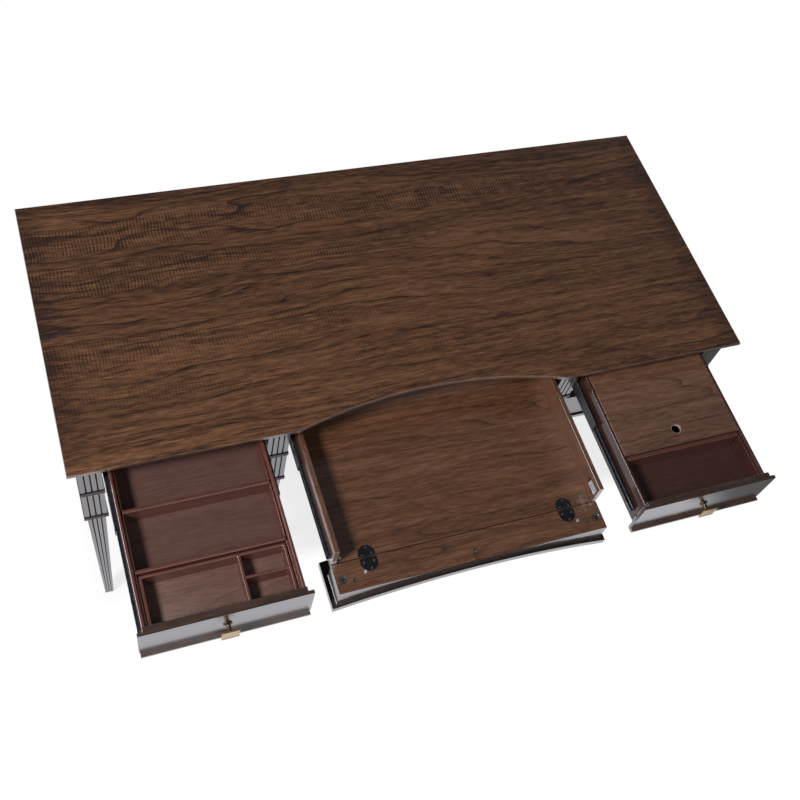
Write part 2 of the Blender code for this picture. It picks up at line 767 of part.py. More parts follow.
def make_cove(top):
    """Layer between core and facing, hollowed in a quarter circle along its top and its two ends."""
    turns = [math.pi / 2 * i / cove_steps for i in range(cove_steps + 1)]
    rows = [(cove_size * (1 - math.cos(turn)), cove_size * math.sin(turn)) for turn in turns]
    rows.append((cove_size, cove_size + cove_seat))
    bm = bmesh.new()
    loops = []
    for out, deep in rows:
        line = front_line(core_half_width + out - gap, deep + gap)
        upper = [bm.verts.new((*point, top + out - gap)) for point in line]
        lower = [bm.verts.new((*point, seam_play)) for point in line]
        loops.append((upper, lower))
    for upper, lower in (loops[0], loops[-1]):
        for j in range(front_steps):
            bm.faces.new((upper[j], upper[j + 1], lower[j + 1], lower[j]))
    for near, far in zip(loops, loops[1:]):
        for row in range(2):
            for j in range(front_steps):
                bm.faces.new((near[row][j], near[row][j + 1], far[row][j + 1], far[row][j]))
        for j in (0, -1):
            bm.faces.new((near[0][j], near[1][j], far[1][j], far[0][j]))
    return finish_mesh(bm, "cove")


def make_drop_front(flap):
    """Concave front, modelled shut: a core, a cove, and a facing that overhangs them."""
    top = front_top - hinge_z
    bottom = front_bottom - hinge_z
    core_top = top - facing_overhang
    outline = front_line(core_half_width, cove_size / 2)
    outline += [(core_half_width, -hinge_rise), (-core_half_width, -hinge_rise)]
    front = make_part("drop_front", extrusion(outline, "Z", seam_play, core_top), walnut, flap)
    outline = front_line(facing_half_width, cove_size + facing_thickness)
    outline += reversed(front_line(facing_half_width, cove_size))
    facing = extrusion(outline, "Z", bottom, top)
    for name, layer in (("cove", make_cove(core_top)), ("facing", facing)):
        shape_with(front, make_cutter(f"drop_front_{name}", layer, flap), "UNION")
    bores = [(x, peg_bore_rise, peg_bore_radius, peg_bore_depth) for x in (-peg_bore_x, 0, peg_bore_x)]
    bores += [(x, strike_rise, strike_seat_radius, strike_seat_depth) for x in (-strike_x, strike_x)]
    for x, rise, radius, depth in bores:
        bore = cylinder(radius, -hinge_rise - depth, overrun - hinge_rise, "Y", (x, rise), bore_steps)
        shape_with(front, make_cutter("drop_front_bore", bore, flap), "DIFFERENCE")


def leaf_outline(start, way, length):
    """Round-ended plate, in plan, from start away from the pin."""
    half = hinge_width / 2
    straight = length - half
    outline = [(-half, start)]
    for i in range(hinge_steps + 1):
        turn = math.pi * i / hinge_steps
        outline.append((-half * math.cos(turn), way * (straight + half * math.sin(turn))))
    outline.append((half, start))
    return outline


def make_hinge_leaf(name, owner, x, way, length, barrels, pin):
    """Leaf with its barrels; way is +1 towards the drawer's back, -1 towards the front."""
    start = way * (barrel_radius + slide_play)
    low = gap - hinge_rise
    high = low + hinge_plate
    leaf = make_part(name, extrusion(leaf_outline(start, way, length), "Z", low, high), black_steel,
                     owner, (x, 0, 0))
    for number, (x0, x1) in enumerate(barrels):
        near, far = sorted((0, start + way * slide_play))
        tongue = block((x0, near, low), (x1, far, high))
        shape_with(leaf, make_cutter(f"{name}_tongue_{number}", tongue, owner, (x, 0, 0)), "UNION")
        barrel = cylinder(barrel_radius, x0, x1, "X", (0, 0), hinge_steps)
        shape_with(leaf, make_cutter(f"{name}_barrel_{number}", barrel, owner, (x, 0, 0)), "UNION")
    reach = barrels[-1][1] - overrun / 2
    if pin:
        rod = cylinder(pin_radius, -reach, reach, "X", (0, 0), hinge_steps)
        shape_with(leaf, make_cutter(f"{name}_pin", rod, owner, (x, 0, 0)), "UNION")
    else:
        bore = cylinder(pin_radius + pin_play, -reach - overrun, reach + overrun, "X", (0, 0), hinge_steps)
        shape_with(leaf, make_cutter(f"{name}_bore", bore, owner, (x, 0, 0)), "DIFFERENCE")


def make_hinges(drawer, flap):
    half = barrel_length / 2
    outer = [(-half - barrel_length - gap, -half - gap), (half + gap, half + barrel_length + gap)]
    for side, sign in (("left", -1), ("right", 1)):
        x = sign * hinge_x
        make_hinge_leaf(f"hinge_leaf_fixed_{side}", drawer, x, 1, fixed_leaf_length, outer, True)
        make_hinge_leaf(f"hinge_leaf_moving_{side}", flap, x, -1, moving_leaf_length, [(-half, half)], False)


def make_centre_drawer(desk):
    drawer = make_empty("centre_drawer", desk["empty"], (0, centre_rest_y, 0))
    pin_line = make_empty("hinge_line", drawer, (0, 0, hinge_z))
    flap = make_empty("drop_front_pivot", drawer, (0, 0, hinge_z), math.pi / 2)
    make_centre_box(drawer)
    make_drop_front(flap)
    make_hinges(pin_line, pin_line)
    middle_y = centre_shut_y - centre_pull_out / 2
    middle = make_empty("centre_slide_middle", desk["empty"], (0, middle_y, 0))
    walls = (("left", -runner_wall, 1), ("right", runner_wall, -1))
    make_slides("centre_drawer", walls, slide_z, centre_shut_y + centre_slide_start,
                centre_pull_out, desk, {"empty": middle, "x": 0, "y": middle_y},
                {"empty": drawer, "x": 0, "y": centre_rest_y})


def shade_round_pieces():
    for part in parts.objects:
        if part.type == "MESH" and part.name.endswith("_pull"):
            part.data.shade_smooth()


def build_desk():
    stand = make_empty("desk", None, (0, stand_y, 0))
    desk = {"empty": stand, "x": 0, "y": 0}
    make_top(stand)
    make_legs(stand)
    make_frame(stand)
    make_lower_rail(stand)
    left_dividers = [("divider_rear", rear_divider_y, divider_thickness),
                     ("divider_front", front_divider_y, divider_thickness)]
    left = make_side_drawer("left_drawer", -1, desk, left_dividers)
    make_tray("left_drawer_tray", left)
    right_dividers = [("divider", front_divider_y, cover_divider_thickness)]
    right = make_side_drawer("right_drawer", 1, desk, right_dividers)
    make_cover(right)
    make_centre_drawer(desk)
    shade_round_pieces()


build_desk()
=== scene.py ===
import json
import math

import bmesh
import bpy
from mathutils import Matrix, Vector


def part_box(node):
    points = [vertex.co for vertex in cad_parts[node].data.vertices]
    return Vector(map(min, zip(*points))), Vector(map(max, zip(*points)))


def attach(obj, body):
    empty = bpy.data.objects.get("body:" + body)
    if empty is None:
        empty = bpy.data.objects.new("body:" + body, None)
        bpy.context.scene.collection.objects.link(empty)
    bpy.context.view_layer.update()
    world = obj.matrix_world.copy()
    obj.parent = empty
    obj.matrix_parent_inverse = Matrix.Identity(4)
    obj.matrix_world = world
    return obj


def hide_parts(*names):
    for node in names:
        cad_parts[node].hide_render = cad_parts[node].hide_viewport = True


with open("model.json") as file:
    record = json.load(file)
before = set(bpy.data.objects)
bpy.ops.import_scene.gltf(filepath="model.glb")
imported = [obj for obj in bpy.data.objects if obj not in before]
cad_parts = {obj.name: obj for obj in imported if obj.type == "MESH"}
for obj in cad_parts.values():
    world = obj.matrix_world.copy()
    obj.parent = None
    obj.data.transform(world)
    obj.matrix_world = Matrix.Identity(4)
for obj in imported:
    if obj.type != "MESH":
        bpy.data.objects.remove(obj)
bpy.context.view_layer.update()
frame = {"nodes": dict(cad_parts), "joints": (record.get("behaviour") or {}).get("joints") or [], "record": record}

print("frame loaded:", len(frame["nodes"]), "nodes")

# Places read from the frame
topLow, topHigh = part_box("desk_top")
bottomLow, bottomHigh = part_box("centre_drawer_bottom")
flapLow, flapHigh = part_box("drop_front")
hinge = next(joint for joint in frame["joints"] if joint["name"] == "flap_hinge")
seamY = hinge["pos_m"][1]
mm = 0.001


# Working helpers

def deselectAll():
    if bpy.context.mode != "OBJECT":
        bpy.ops.object.mode_set(mode="OBJECT")
    bpy.ops.object.select_all(action="DESELECT")


def makeActive(piece):
    deselectAll()
    piece.select_set(True)
    bpy.context.view_layer.objects.active = piece


def openEdit(piece, mode="FACE", selected=False):
    makeActive(piece)
    bpy.ops.object.mode_set(mode="EDIT")
    bpy.ops.mesh.select_mode(type=mode)
    bpy.ops.mesh.select_all(action="SELECT" if selected else "DESELECT")


def closeEdit():
    bpy.ops.object.mode_set(mode="OBJECT")


def pickFaces(piece, test):
    mesh = bmesh.from_edit_mesh(piece.data)
    for face in mesh.faces:
        face.select_set(test(face))
    bmesh.update_edit_mesh(piece.data)


# A face points along an axis from "straight" on, and "slack" tells the outermost faces from those behind them
facing = {"straight": 0.9, "slack": 0.01 * mm}


def pickOutermost(piece, axis):
    farthest = max(getattr(vertex.co, axis) for vertex in piece.data.vertices)
    pickFaces(piece, lambda face: getattr(face.normal, axis) > facing["straight"]
              and getattr(face.calc_center_median(), axis) > farthest - facing["slack"])


def applyModifier(piece, kind, **values):
    makeActive(piece)
    modifier = piece.modifiers.new(kind.lower(), kind)
    for key, value in values.items():
        setattr(modifier, key, value)
    bpy.ops.object.modifier_apply(modifier=modifier.name)


smoothing = {"node": 35, "turned": 50, "plate": 40, "fitting": 30}


def smooth(piece, kind):
    makeActive(piece)
    bpy.ops.object.shade_smooth_by_angle(angle=math.radians(smoothing[kind]))


def settle(piece, matrix=None):
    if matrix is not None:
        piece.matrix_world = matrix @ piece.matrix_world
    makeActive(piece)
    bpy.ops.object.transform_apply(location=True, rotation=True, scale=True)
    return piece


def finishPiece(piece, name, body, material, replaced=()):
    piece.name = name
    piece.data.name = name
    piece.data.materials.clear()
    piece.data.materials.append(material)
    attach(piece, body)
    if replaced:
        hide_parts(*replaced)
    return piece


def bodyOf(node):
    groups = frame["record"]["behaviour"]["bodies"]
    return next(body for body, members in groups.items() if node in members)


# Material helpers

def newMaterial(name):
    material = bpy.data.materials.new(name)
    material.use_nodes = True
    shader = material.node_tree.nodes["Principled BSDF"]
    return material, material.node_tree, shader


def place(tree, kind, **values):
    node = tree.nodes.new(kind)
    for key, value in values.items():
        if key.startswith("in_"):
            node.inputs[key[3:].replace("_", " ")].default_value = value
        else:
            setattr(node, key, value)
    return node


def stretched(axis, along, across):
    return tuple(along if letter == axis else across for letter in "XYZ")


def noise(tree, coordinate, scale, detail, roughness, offset=0.0):
    mapping = place(tree, "ShaderNodeMapping", in_Scale=scale, in_Location=(offset, offset, offset))
    tree.links.new(coordinate, mapping.inputs["Vector"])
    cloud = place(tree, "ShaderNodeTexNoise", in_Scale=1.0, in_Detail=detail, in_Roughness=roughness)
    tree.links.new(mapping.outputs["Vector"], cloud.inputs["Vector"])
    return cloud


def spread(tree, value, low, high, newLow, newHigh, smoothStep=False):
    node = place(tree, "ShaderNodeMapRange", in_From_Min=low, in_From_Max=high,
                 in_To_Min=newLow, in_To_Max=newHigh)
    if smoothStep:
        node.interpolation_type = "SMOOTHSTEP"
    tree.links.new(value, node.inputs["Value"])
    return node.outputs["Result"]


def calculate(tree, operation, first, second=0.0, third=None):
    node = place(tree, "ShaderNodeMath", operation=operation)
    for socket, value in zip(node.inputs, (first, second, third)):
        if value is None:
            continue
        if isinstance(value, (int, float)):
            socket.default_value = value
        else:
            tree.links.new(value, socket)
    return node.outputs["Value"]


def ramp(tree, value, stops):
    node = tree.nodes.new("ShaderNodeValToRGB")
    elements = node.color_ramp.elements
    while len(elements) < len(stops):
        elements.new(0.5)
    for element, (position, colour) in zip(elements, stops):
        element.position = position
        element.color = (*colour, 1.0)
    tree.links.new(value, node.inputs["Fac"])
    return node.outputs["Color"]


# Where a Mix node set to colours has its two colour inputs and its result
mixSockets = {"first": 6, "second": 7, "result": 2}


def blendColours(tree, factor, first, second):
    node = place(tree, "ShaderNodeMix", data_type="RGBA")
    tree.links.new(factor, node.inputs["Factor"])
    for key, value in (("first", first), ("second", second)):
        socket = node.inputs[mixSockets[key]]
        if isinstance(value, tuple):
            socket.default_value = (*value, 1.0)
        else:
            tree.links.new(value, socket)
    return node.outputs[mixSockets["result"]]


def splitAxes(tree, coordinate):
    split = place(tree, "ShaderNodeSeparateXYZ")
    tree.links.new(coordinate, split.inputs["Vector"])
    return split.outputs


def bump(tree, shader, height, strength, distance):
    node = place(tree, "ShaderNodeBump", in_Strength=strength, in_Distance=distance)
    tree.links.new(height, node.inputs["Height"])
    tree.links.new(node.outputs["Normal"], shader.inputs["Normal"])


# Wood: each set of tones has a ramp from dark to light, and says how strong each layer of the grain is.
# The coat is its weight, roughness and refractive index.

topTones = {
    "stops": [(0.10, (0.025, 0.0104, 0.0062)), (0.36, (0.081, 0.0325, 0.0140)),
              (0.56, (0.135, 0.0568, 0.0240)), (0.88, (0.218, 0.0980, 0.0430))],
    "vein": (0.011, 0.0060, 0.0045),
    "veinAmount": 0.92,
    "figure": 0.46,
    "linesPerMetre": 34,
    "waviness": 11,
    "ringAmount": 0.22,
    "streak": 0.19,
    "fibre": 0.30,
    "ripple": 0.58,
    "border": 0.20,
    "roughness": (0.30, 0.42),
    "coat": (1.0, 0.24, 1.9),
    "gloss": 0.5,
    "bump": 0.10,
}
plainTones = dict(topTones, ripple=0.0, border=0.0, veinAmount=0.5, ringAmount=0.10, fibre=0.22, streak=0.16)
caseTones = dict(plainTones, coat=(1.0, 0.20, 2.6), stops=[
    (0.14, (0.016, 0.0080, 0.0052)), (0.38, (0.034, 0.0160, 0.0092)),
    (0.58, (0.054, 0.0255, 0.0145)), (0.86, (0.092, 0.0450, 0.0255))])
stainedTones = dict(plainTones, veinAmount=0.2, figure=0.25, ringAmount=0.06, streak=0.08, fibre=0.12,
                    coat=(0.75, 0.18, 1.65), gloss=0.0, stops=[
    (0.20, (0.030, 0.0095, 0.0068)), (0.50, (0.053, 0.0182, 0.0130)), (0.80, (0.082, 0.0305, 0.0220))])
polishedTones = dict(stainedTones, coat=(1.0, 0.16, 2.0), stops=[
    (0.20, (0.066, 0.0205, 0.0150)), (0.50, (0.115, 0.0380, 0.0275)), (0.80, (0.175, 0.0620, 0.0450))])
legTones = dict(caseTones, coat=(1.0, 0.20, 2.05))
# A dark, dull wood for the legs' bands, and as painted shade in the flutes, on the drop front's ledge and hollow
# and at the seam
bandAndShadeTones = dict(caseTones, coat=(0.25, 0.30, 1.5), gloss=0.2, stops=[
    (0.20, (0.008, 0.0048, 0.0038)), (0.50, (0.016, 0.0090, 0.0066)), (0.80, (0.028, 0.0155, 0.0110))])
liningTones = dict(plainTones, veinAmount=0.0, figure=0.20, ringAmount=0.05, streak=0.08, fibre=0.14,
                   roughness=(0.42, 0.55), coat=(0.2, 0.35, 1.5), stops=[
    (0.20, (0.063, 0.0275, 0.0205)), (0.50, (0.090, 0.0410, 0.0312)), (0.80, (0.121, 0.0580, 0.0440))])
# A darker lining for the right drawer's floor: painted shade of its compartment
shadedLiningTones = dict(liningTones, stops=[
    (0.20, (0.034, 0.0125, 0.0094)), (0.50, (0.050, 0.0196, 0.0148)), (0.80, (0.069, 0.0280, 0.0218))])
trayTones = dict(liningTones, fibre=0.30, streak=0.14, stops=[
    (0.20, (0.098, 0.0500, 0.0385)), (0.50, (0.130, 0.0680, 0.0530)), (0.80, (0.166, 0.0900, 0.0710))])
panelTones = dict(plainTones, veinAmount=0.45, ringAmount=0.12, figure=0.40, streak=0.18, fibre=0.26,
                  coat=(1.0, 0.20, 2.2), stops=[
    (0.10, (0.052, 0.0200, 0.0100)), (0.38, (0.098, 0.0390, 0.0180)),
    (0.58, (0.141, 0.0590, 0.0280)), (0.88, (0.212, 0.0940, 0.0470))])
sideTones = dict(panelTones, coat=(1.0, 0.18, 2.8))
# Polished wood with a glossier coat for the left boards' rims: a painted highlight
rimHighlightTones = dict(polishedTones, coat=(1.0, 0.22, 3.4))
coverTones = dict(panelTones, stops=[
    (0.10, (0.070, 0.0300, 0.0175)), (0.38, (0.130, 0.0580, 0.0330)),
    (0.58, (0.180, 0.0850, 0.0500)), (0.88, (0.255, 0.1280, 0.0770))])
coreTones = dict(liningTones, stops=[
    (0.20, (0.34, 0.27, 0.20)), (0.50, (0.44, 0.36, 0.28)), (0.80, (0.54, 0.46, 0.38))])
boardTones = {
    "top": topTones, "case": caseTones, "leg": legTones, "band": bandAndShadeTones, "stained": stainedTones,
    "polished": polishedTones, "lining": liningTones, "deep": shadedLiningTones, "tray": trayTones,
    "panel": panelTones, "side": sideTones, "cover": coverTones, "core": coreTones, "rim": rimHighlightTones,
}

# Layers of the grain: noise scale along and across it, detail, roughness, and where in the noise it starts
grain = {
    "wander": (1.6, 6.0, 2, 0.50, 0.0),
    "figure": (0.9, 15, 5, 0.60, 3.1),
    "fibre": (26, 270, 4, 0.72, 7.7),
    "streak": (3.4, 85, 4, 0.66, 1.3),
    "growth": (1.1, 5.0, 3, 0.45, 5.2),
    "lineGap": (1.8, 16, 3, 0.60, 8.8),
    "barGap": (45, 45, 2, 0.70, 4.6),
    "patch": (2.2, 26, 2, 0.60, 7.0),
}
# How the layers are put together: ranges are in and out, and shares are of the tones' own amounts
weave = {
    "warp": (0.05, 0.05, 0.05),
    "startStep": 0.37,
    "middleTone": 0.5,
    "figureGain": 1.5,
    "noiseRange": (0.32, 0.68),
    "glossRange": (0.3, 0.7),
    "lineStart": 0.45,
    "linePower": 3.2,
    "lineGaps": (0.40, 0.58, 0.10, 1.0),
    "ringShare": 1.6,
    "veinPower": 2.2,
    "bumpDepth": 0.6 * mm,
}
# Curled figure of the top.
# Each band says its middle and half width across the grain, how far it reaches, and its strength.
curl = {
    "pitch": 7.6 * mm,
    "waveFactor": 20,
    "distortion": 6.0,
    "detail": 2.0,
    "detailScale": 0.30,
    "bands": [(0.418, 0.046, 0.55, 1.0), (0.318, 0.040, -0.15, 0.9), (0.105, 0.050, -0.25, 0.5),
              (0.215, 0.030, 0.10, 0.3), (0.010, 0.045, 0.80, 0.35)],
    "drift": 0.11,
    "shift": 0.055,
    "widthShares": (0.55, 1.25),
    "fadeLength": 0.35,
    "faded": 0.12,
    "barGaps": (0.32, 0.62, 0.25, 1.0),
    "barTop": 0.75,
    "lightShare": 0.30,
    "darkShare": 0.60,
    "patches": (0.38, 0.58, 0.25, 1.0),
}
# Darker border of the top: how wide it is and how dark at the edge
border = {"side": (0.085, 1.0), "rear": (0.060, 0.8), "front": (0.035, 0.6)}


def layer(tree, coordinate, axis, name, offset):
    along, across, detail, roughness, start = grain[name]
    return noise(tree, coordinate, stretched(axis, along, across), detail, roughness, offset + start)


def borderMask(tree, coordinate):
    axes = splitAxes(tree, coordinate)
    sideways = calculate(tree, "ABSOLUTE", axes["X"])
    (sideWidth, sideDark), (rearWidth, rearDark), (frontWidth, frontDark) = border.values()
    side = spread(tree, sideways, topHigh.x - sideWidth, topHigh.x, 0.0, sideDark, smoothStep=True)
    rear = spread(tree, axes["Y"], topHigh.y - rearWidth, topHigh.y, 0.0, rearDark, smoothStep=True)
    front = spread(tree, axes["Y"], topLow.y, topLow.y + frontWidth, frontDark, 0.0, smoothStep=True)
    return calculate(tree, "MAXIMUM", side, calculate(tree, "MAXIMUM", rear, front))


def curlMask(tree, coordinate, wander):
    axes = splitAxes(tree, coordinate)
    across = calculate(tree, "MULTIPLY_ADD", wander, curl["drift"], axes["Y"])
    inner, outer = curl["widthShares"]
    mask = 0.0
    for middle, half, reach, strength in curl["bands"]:
        away = calculate(tree, "ABSOLUTE", calculate(tree, "SUBTRACT", across, middle + curl["shift"]))
        near = spread(tree, away, half * inner, half * outer, strength, 0.0, smoothStep=True)
        end = reach + curl["fadeLength"]
        along = spread(tree, axes["X"], reach, end, 1.0, curl["faded"], smoothStep=True)
        mask = calculate(tree, "MAXIMUM", mask, calculate(tree, "MULTIPLY", near, along))
    return mask


def ripple(tree, axis, coordinate, wander, amount, offset):
    scale = math.tau / curl["waveFactor"] / curl["pitch"]
    bars = place(tree, "ShaderNodeTexWave", bands_direction=axis, in_Scale=scale,
                 in_Distortion=curl["distortion"], in_Detail=curl["detail"],
                 in_Detail_Scale=curl["detailScale"])
    tree.links.new(coordinate, bars.inputs["Vector"])
    gaps = spread(tree, layer(tree, coordinate, axis, "barGap", offset).outputs["Fac"], *curl["barGaps"])
    bars = calculate(tree, "MULTIPLY", bars.outputs["Fac"], gaps)
    light, dark = amount * curl["lightShare"], -amount * curl["darkShare"]
    tone = spread(tree, bars, 0.0, curl["barTop"], light, dark)
    patches = layer(tree, coordinate, axis, "patch", offset).outputs["Fac"]
    where = spread(tree, patches, *curl["patches"], smoothStep=True)
    where = calculate(tree, "MULTIPLY", where, curlMask(tree, coordinate, wander))
    return calculate(tree, "MULTIPLY", tone, where)


def growthLines(tree, warped, axis, tones, offset):
    across = place(tree, "ShaderNodeVectorMath", operation="DOT_PRODUCT")
    across.inputs[1].default_value = stretched(axis, 0.0, tones["linesPerMetre"])
    tree.links.new(warped, across.inputs[0])
    growth = layer(tree, warped, axis, "growth", offset).outputs["Fac"]
    growth = calculate(tree, "MULTIPLY_ADD", growth, tones["waviness"], across.outputs["Value"])
    growth = calculate(tree, "FRACT", growth)
    line = spread(tree, growth, weave["lineStart"], 1.0, 0.0, 1.0)
    line = calculate(tree, "POWER", line, weave["linePower"])
    gaps = layer(tree, warped, axis, "lineGap", offset).outputs["Fac"]
    return calculate(tree, "MULTIPLY", line, spread(tree, gaps, *weave["lineGaps"]))


def woodMaterial(name, axis, tones, offset):
    material, tree, shader = newMaterial(name)
    coordinate = place(tree, "ShaderNodeTexCoord").outputs["Object"]
    wander = layer(tree, coordinate, axis, "wander", offset)
    warp = place(tree, "ShaderNodeVectorMath", operation="MULTIPLY_ADD")
    warp.inputs[1].default_value = weave["warp"]
    tree.links.new(wander.outputs["Color"], warp.inputs[0])
    tree.links.new(coordinate, warp.inputs[2])
    warped = warp.outputs["Vector"]
    figure, fibre, streak = (layer(tree, warped, axis, key, offset).outputs["Fac"]
                             for key in ("figure", "fibre", "streak"))
    line = growthLines(tree, warped, axis, tones, offset)
    gain = tones["figure"] * weave["figureGain"]
    tone = calculate(tree, "MULTIPLY_ADD", figure, gain, weave["middleTone"] - gain / 2)
    for key, value in (("streak", streak), ("fibre", fibre)):
        change = spread(tree, value, *weave["noiseRange"], -tones[key], tones[key])
        tone = calculate(tree, "ADD", tone, change)
    tone = calculate(tree, "MULTIPLY_ADD", line, -tones["ringAmount"] * weave["ringShare"], tone)
    if tones["ripple"]:
        bars = ripple(tree, axis, coordinate, wander.outputs["Fac"], tones["ripple"], offset)
        tone = calculate(tree, "ADD", tone, bars)
    if tones["border"]:
        tone = calculate(tree, "MULTIPLY_ADD", borderMask(tree, coordinate), -tones["border"], tone)
    colour = ramp(tree, tone, tones["stops"])
    if tones["veinAmount"]:
        vein = calculate(tree, "POWER", line, weave["veinPower"])
        vein = calculate(tree, "MULTIPLY", vein, tones["veinAmount"])
        colour = blendColours(tree, vein, colour, tones["vein"])
    tree.links.new(colour, shader.inputs["Base Color"])
    roughness = spread(tree, fibre, *weave["glossRange"], *tones["roughness"])
    tree.links.new(roughness, shader.inputs["Roughness"])
    for socket, value in zip(("Coat Weight", "Coat Roughness", "Coat IOR"), tones["coat"]):
        shader.inputs[socket].default_value = value
    shader.inputs["Specular IOR Level"].default_value = tones["gloss"]
    bump(tree, shader, fibre, tones["bump"], weave["bumpDepth"])
    return material


woods = {}


def wood(kind, axis):
    # Each wood starts at its own place in the noise, so no two boards of different kinds match.
    key = kind + axis
    if key not in woods:
        start = weave["startStep"] * len(woods)
        woods[key] = woodMaterial(f"{kind}Wood{axis}", axis, boardTones[kind], start)
    return woods[key]


# Metal

metalGrain = {"noise": (4, 0.6), "low": 0.3, "high": 0.7, "bumpDepth": 0.4 * mm}


def metalMaterial(name, dark, light, roughness, metallic, scale, bumpStrength):
    material, tree, shader = newMaterial(name)
    coordinate = place(tree, "ShaderNodeTexCoord").outputs["Object"]
    cloud = noise(tree, coordinate, (scale,) * 3, *metalGrain["noise"]).outputs["Fac"]
    low, high = metalGrain["low"], metalGrain["high"]
    tree.links.new(ramp(tree, cloud, [(low, dark), (high, light)]), shader.inputs["Base Color"])
    tree.links.new(spread(tree, cloud, low, high, *roughness), shader.inputs["Roughness"])
    shader.inputs["Metallic"].default_value = metallic
    if bumpStrength:
        bump(tree, shader, cloud, bumpStrength, metalGrain["bumpDepth"])
    return material


# Dark and light colour, range of roughness, how metallic, scale of the grain, strength of the bump
metals = {
    "blackSteel": ((0.006, 0.006, 0.008), (0.013, 0.013, 0.016), (0.34, 0.44), 0.20, 60, 0.0),
    # A lighter steel for the slides' edges: a painted glint
    "rolledSteel": ((0.22, 0.23, 0.26), (0.38, 0.40, 0.46), (0.26, 0.38), 0.90, 120, 0.0),
    "darkScrew": ((0.16, 0.16, 0.17), (0.28, 0.28, 0.30), (0.24, 0.38), 0.90, 260, 0.05),
    "darkPewter": ((0.14, 0.135, 0.14), (0.26, 0.25, 0.26), (0.28, 0.44), 0.90, 260, 0.05),
    "darkBronze": ((0.050, 0.035, 0.024), (0.120, 0.085, 0.055), (0.25, 0.42), 0.90, 260, 0.10),
    "goldEdge": ((0.40, 0.24, 0.07), (0.60, 0.39, 0.14), (0.30, 0.44), 1.00, 340, 0.20),
    "paleBrass": ((0.46, 0.33, 0.20), (0.66, 0.51, 0.34), (0.28, 0.44), 1.00, 340, 0.20),
    "brightZinc": ((0.62, 0.64, 0.68), (0.84, 0.86, 0.90), (0.30, 0.46), 0.85, 300, 0.05),
}
blackSteel, rolledSteel, darkScrew, pewter, bronze, gold, brass, zinc = (
    metalMaterial(name, *values) for name, values in metals.items())
print("materials ready")


# CAD nodes, with their edges eased

easing = {"angle": 30, "segments": 2, "weld": 0.01 * mm, "flat": 0.4}
# How wide the edges of each kind of piece are eased
easeWidths = {
    "top": 1.4 * mm, "leg": 0.6 * mm, "board": 0.8 * mm, "bottom": 0.3 * mm, "side": 2.2 * mm,
    "divider": 2.6 * mm, "tray": 2.4 * mm, "cover": 1.0 * mm, "keyboardSide": 1.4 * mm,
    "keyboardBottom": 1.2 * mm, "slide": 0.7 * mm, "leaf": 0.2 * mm,
}


def easeNode(node, material, width, isRounded=None):
    piece = bpy.data.objects.new(node, frame["nodes"][node].data.copy())
    bpy.context.scene.collection.objects.link(piece)
    openEdit(piece, "VERT", selected=True)
    bpy.ops.mesh.remove_doubles(threshold=easing["weld"])
    bpy.ops.mesh.dissolve_limited(angle_limit=math.radians(easing["flat"]))
    closeEdit()
    applyModifier(piece, "BEVEL", width=width, segments=easing["segments"], limit_method="ANGLE",
                  angle_limit=math.radians(easing["angle"]), use_clamp_overlap=True)
    smooth(piece, "node")
    # Big faces stay flat to the light; vertices of a rounded part are left as they are.
    flat = piece.vertex_groups.new(name="flat")
    flat.add([vertex.index for vertex in piece.data.vertices
              if isRounded is None or not isRounded(vertex.co)], 1.0, "REPLACE")
    applyModifier(piece, "WEIGHTED_NORMAL", keep_sharp=True, vertex_group=flat.name)
    piece.vertex_groups.clear()
    name = "eased" + "".join(word.capitalize() for word in node.split("_"))
    return finishPiece(piece, name, bodyOf(node), material, (node,))


def paintFaces(piece, material, test):
    piece.data.materials.append(material)
    for face in piece.data.polygons:
        if test(face):
            face.material_index = len(piece.data.materials) - 1


# Parts of a leg painted dark: its bands, by their drop from the top, and the slanted faces of its flutes, whose
# dark is painted shade
leg = {"bandDrops": (127 * mm, 247 * mm), "bandReach": 7.2 * mm, "fluteTurn": (0.75, 0.90), "fluteRise": 0.2}


def isLegBandAndFluteShade(face):
    drop = topLow.z - face.center.z
    turn = max(abs(face.normal.x), abs(face.normal.y))
    inBand = any(abs(drop - middle) < leg["bandReach"] for middle in leg["bandDrops"])
    inFlute = leg["fluteTurn"][0] < turn < leg["fluteTurn"][1] and abs(face.normal.z) < leg["fluteRise"]
    return inBand or inFlute


def easeCase():
    easeNode("desk_top", wood("top", "X"), easeWidths["top"])
    for node in frame["nodes"]:
        if node.startswith("leg_"):
            piece = easeNode(node, wood("leg", "Z"), easeWidths["leg"])
            # The bands take a dark colour and the flutes painted shade
            paintFaces(piece, wood("band", "Z"), isLegBandAndFluteShade)
    for node in ("front_rail", "back_apron", "right_lower_rail"):
        easeNode(node, wood("leg", "X"), easeWidths["board"])
    for side in ("left", "right"):
        easeNode(f"end_apron_{side}", wood("leg", "Y"), easeWidths["board"])
        easeNode(f"knee_panel_{side}", wood("leg", "Y"), easeWidths["board"])
    print("case eased")


# The left boards' eased rims, given a glossier coat as a painted highlight of the light from the left
rim = {"lean": -0.25, "rise": 0.15}


def isLitRim(face):
    return face.normal.x < rim["lean"] and face.normal.z > rim["rise"]


def easeSideDrawers():
    # The right drawer's floor takes the darker lining, as painted shade
    kinds = {"left_drawer": ("lining", "polished"), "right_drawer": ("deep", "stained")}
    for drawer, (floorKind, sideKind) in kinds.items():
        easeNode(f"{drawer}_front", wood("case", "X"), easeWidths["board"])
        easeNode(f"{drawer}_back", wood("stained", "X"), easeWidths["board"])
        easeNode(f"{drawer}_bottom", wood(floorKind, "X"), easeWidths["bottom"])
        for side in ("left", "right"):
            board = easeNode(f"{drawer}_side_{side}", wood(sideKind, "Y"), easeWidths["side"])
            # The left board's rim takes the painted highlight
            if side == "left":
                paintFaces(board, wood("rim", "Y"), isLitRim)
    for node in ("left_drawer_divider_rear", "left_drawer_divider_front", "right_drawer_divider"):
        easeNode(node, wood("polished", "X"), easeWidths["divider"])
    easeNode("left_drawer_tray", wood("polished", "X"), easeWidths["tray"])
    easeNode("right_drawer_cover", wood("cover", "X"), easeWidths["cover"])
    print("side drawers eased")


